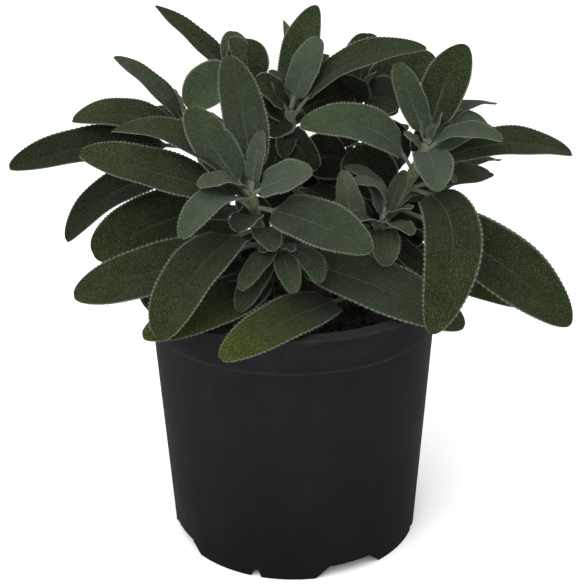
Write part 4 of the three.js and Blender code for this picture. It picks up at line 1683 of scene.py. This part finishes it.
@dataclass
class Compost:
    """The compost: a lumpy bed in the pot with crumbs lying on it."""

    finish: Material
    crumb_finish: Material
    clearance: float = 0.3
    waist: float = 60.0
    around: int = 120
    rings: int = 44
    lumps: float = 1.5
    lump_scale: float = 0.16
    lump_smoothness: float = 0.8
    lump_steps: float = 2.2
    lump_layers: int = 5
    wall_lumps: float = 0.25
    lump_rise: float = 3.0
    settling: float = 0.7
    dome_start: float = 0.35
    crumbs: int = 420
    crumb_kinds: int = 3
    crumb_circle: float = 50.0
    crumb_sizes: tuple[float, float] = (0.35, 1.5)
    crumb_breadths: tuple[float, float] = (0.5, 1.0)
    crumb_heights: tuple[float, float] = (0.45, 0.8)
    crumb_lift: float = 0.25
    crumb_bumps: float = 0.5
    bump_scale: float = 1.3
    kind_shift: float = 7.0
    large_share: float = 1.6
    large_every: int = 11

    def gap_radius(self, height: float) -> float:
        """Returns the compost's radius just inside the pot's wall at a height."""
        return wall_radius(height) - POT_WALL - self.clearance

    def top_height(self, x: float, y: float) -> float:
        """Finds the height of the lumpy surface.

        Args:
            x: the place to the right of the axis, in millimetres.
            y: the place behind the axis, in millimetres.

        Returns:
            The height there, in millimetres.
        """
        radius = math.hypot(x, y) / self.gap_radius(COMPOST_TOP)
        dome = COMPOST_DOME * (1.0 - smoothstep(self.dome_start, 1.0, np.array(radius)).item())
        spot = Vector((x, y, 0.0)) * self.lump_scale
        rough = noise.fractal(spot, self.lump_smoothness, self.lump_steps, self.lump_layers) * self.lumps
        rough *= min(1.0, self.lump_rise * max(0.0, 1.0 - radius) + self.wall_lumps)
        return COMPOST_TOP + dome - self.settling + rough

    def build(self) -> list[Piece]:
        """Builds the bed and its crumbs.

        Returns:
            Both pieces.
        """
        bottom = FLOOR_HEIGHT + POT_WALL + self.clearance
        below = ((0.0, bottom), (self.gap_radius(bottom), bottom), (self.gap_radius(self.waist), self.waist))
        bed, turns, rows = rolled_grid(self.around, self.rings + len(below))
        placed = []
        for turn, row in zip(turns, rows.astype(int)):
            ring = row - len(below)
            radius = self.gap_radius(COMPOST_TOP) * (1.0 - ring / self.rings) if ring >= 0 else below[row][0]
            x, y = radius * math.cos(turn), radius * math.sin(turn)
            placed.append((x, y, self.top_height(x, y) if ring >= 0 else below[row][1]))
        set_coordinates(bed.data, np.array(placed) * MM)
        bed.data.materials.append(self.finish)
        in_edit_mode(bed, close_up)
        pieces = [smoothed(joined("compost_bed", [bed])), self._crumbs()]
        for piece in pieces:
            dress(piece, "compost", "compost")
        return pieces

    def _crumbs(self) -> Piece:
        """Models a few rough crumbs and copies them over the bed by a seeded draw.

        Returns:
            The crumbs as one object.
        """
        draw = np.random.default_rng(SEED)
        patterns = []
        for kind in range(self.crumb_kinds):
            crumb = new_primitive(bpy.ops.mesh.primitive_ico_sphere_add, subdivisions=2, radius=1.0)
            points = coordinates(crumb.data)
            shift = Vector((self.kind_shift * kind, 0.0, 0.0))
            bumps = np.array([noise.noise(Vector(point) * self.bump_scale + shift) for point in points])
            set_coordinates(crumb.data, points * (1.0 + self.crumb_bumps * bumps)[:, None])
            crumb.data.materials.append(self.crumb_finish)
            patterns.append(crumb)
        copies = []
        for index in range(self.crumbs):
            crumb = copied(patterns[index % self.crumb_kinds])
            radius = self.crumb_circle * math.sqrt(draw.uniform(0.0, 1.0))
            turn = draw.uniform(0.0, 2 * math.pi)
            x, y = radius * math.cos(turn), radius * math.sin(turn)
            size = draw.uniform(*self.crumb_sizes)
            size *= self.large_share if index % self.large_every == 0 else 1.0
            stretch = np.array((1.0, draw.uniform(*self.crumb_breadths), draw.uniform(*self.crumb_heights)))
            points = turned(coordinates(crumb.data) * stretch * size, draw.uniform(0.0, 2 * math.pi))
            points += (x, y, self.top_height(x, y) + self.crumb_lift * size)
            set_coordinates(crumb.data, points * MM)
            copies.append(crumb)
        for pattern in patterns:
            bpy.data.objects.remove(pattern)
        return smoothed(joined("compost_crumbs", copies))


@dataclass
class Studio:
    """The plain pale floor, the soft light and the camera at the photographed angle.

    The floor and the key light are given in metres.
    """

    distance: float = 421.28
    height: float = 269.5
    pitch: float = 0.385
    roll: float = -0.009
    focal_pixels: float = 1162.7
    picture_width: int = 584
    axis_pixel: float = 293.145
    sky_strength: float = 1.32
    key_energy: float = 14.0
    key_size: float = 1.4
    key_place: Point = (-0.5, -0.85, 1.05)
    key_aim: Point = (0.0, 0.0, 0.12)
    floor_width: float = 12.0

    def build(self) -> None:
        """Adds the floor, the light and the camera."""
        bpy.context.scene.view_settings.view_transform = "Standard"
        floor = joined("floor", [new_primitive(bpy.ops.mesh.primitive_plane_add, size=self.floor_width)])
        paint = {"Base Color": (0.95, 0.95, 0.95), "Roughness": 0.9, "Specular IOR Level": 0.0}
        floor.data.materials.append(MaterialSheet("pale_floor", paint).material)
        self._light()
        self._camera()

    def _light(self) -> None:
        """Adds the white sky and the key light."""
        world = bpy.data.worlds.new("studio")
        world.use_nodes = True
        bpy.context.scene.world = world
        background = world.node_tree.nodes["Background"]
        background.inputs["Color"].default_value = (1.0, 1.0, 1.0, 1.0)
        background.inputs["Strength"].default_value = self.sky_strength
        light = bpy.data.lights.new("key_light", "AREA")
        light.shape, light.size, light.energy = "DISK", self.key_size, self.key_energy
        key = bpy.data.objects.new("key_light", light)
        key.location = self.key_place
        key.rotation_euler = (Vector(self.key_aim) - key.location).to_track_quat("-Z", "Y").to_euler()
        bpy.context.collection.objects.link(key)

    def _camera(self) -> None:
        """Adds the camera where the photo was taken from."""
        lens = bpy.data.cameras.new("photo_camera")
        lens.sensor_width = 36.0
        lens.lens = self.focal_pixels / self.picture_width * lens.sensor_width
        lens.shift_x = -(self.axis_pixel - self.picture_width / 2) / self.picture_width
        camera = bpy.data.objects.new("photo_camera", lens)
        camera.location = (0.0, -self.distance * MM, self.height * MM)
        tilt = Matrix.Rotation(math.pi / 2 - self.pitch, 3, "X") @ Matrix.Rotation(self.roll, 3, "Z")
        camera.rotation_euler = tilt.to_euler()
        bpy.context.collection.objects.link(camera)
        bpy.context.scene.camera = camera


def main() -> None:
    """Builds the plant's pieces in order and reports each one."""
    logging.basicConfig(level=logging.INFO, format="%(message)s")
    log = logging.getLogger("potted_sage")
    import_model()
    effects = SharedEffects()
    Studio().build()
    upper = LeafFinish(
        "leaf_upper_face",
        young=(0.051, 0.069, 0.05), grown=(0.0305, 0.0455, 0.0195), tip=(0.067, 0.092, 0.0155),
        net_painted_shade=0.38, pale=(0.165, 0.195, 0.148), rib_share=0.2, margin_share=0.85, relief=0.9)
    under = LeafFinish(
        "leaf_under_face",
        young=(0.082, 0.104, 0.075), grown=(0.046, 0.062, 0.036), tip=(0.09, 0.11, 0.04),
        net_painted_shade=0.75, pale=(0.165, 0.195, 0.135), rib_share=0.7, margin_share=0.5, relief=0.3)
    stem = StemFinish(
        "stem_bark", woody=(0.045, 0.034, 0.02), green=(0.1, 0.118, 0.066), purple=(0.05, 0.035, 0.032))
    hair = HairFinish("pale_hair", pale=(0.32, 0.36, 0.26), dull=(0.16, 0.19, 0.12))
    pot = PotFinish(
        "black_plastic",
        black=(0.0079, 0.0083, 0.0094), scuffed=(0.0115, 0.0119, 0.0132), dust=(0.035, 0.034, 0.031))
    bed = CompostFinish(
        "compost_mix", dark=(0.0045, 0.0042, 0.0038), brown=(0.009, 0.007, 0.005), pale=(0.03, 0.024, 0.016))
    crumb = CompostFinish(
        "compost_crumb", dark=(0.005, 0.0045, 0.004), brown=(0.014, 0.01, 0.007), pale=(0.05, 0.038, 0.024))
    pieces = [Pot(pot.make(effects)).build()]
    pieces += Compost(bed.make(effects), crumb.make(effects)).build()
    pieces += Foliage(*(finish.make(effects) for finish in (upper, under, stem, hair))).build()
    for piece in pieces:
        piece.data.calc_loop_triangles()
        log.info("%s: %d triangles", piece.name, len(piece.data.loop_triangles))


if __name__ == "__main__":
    main()
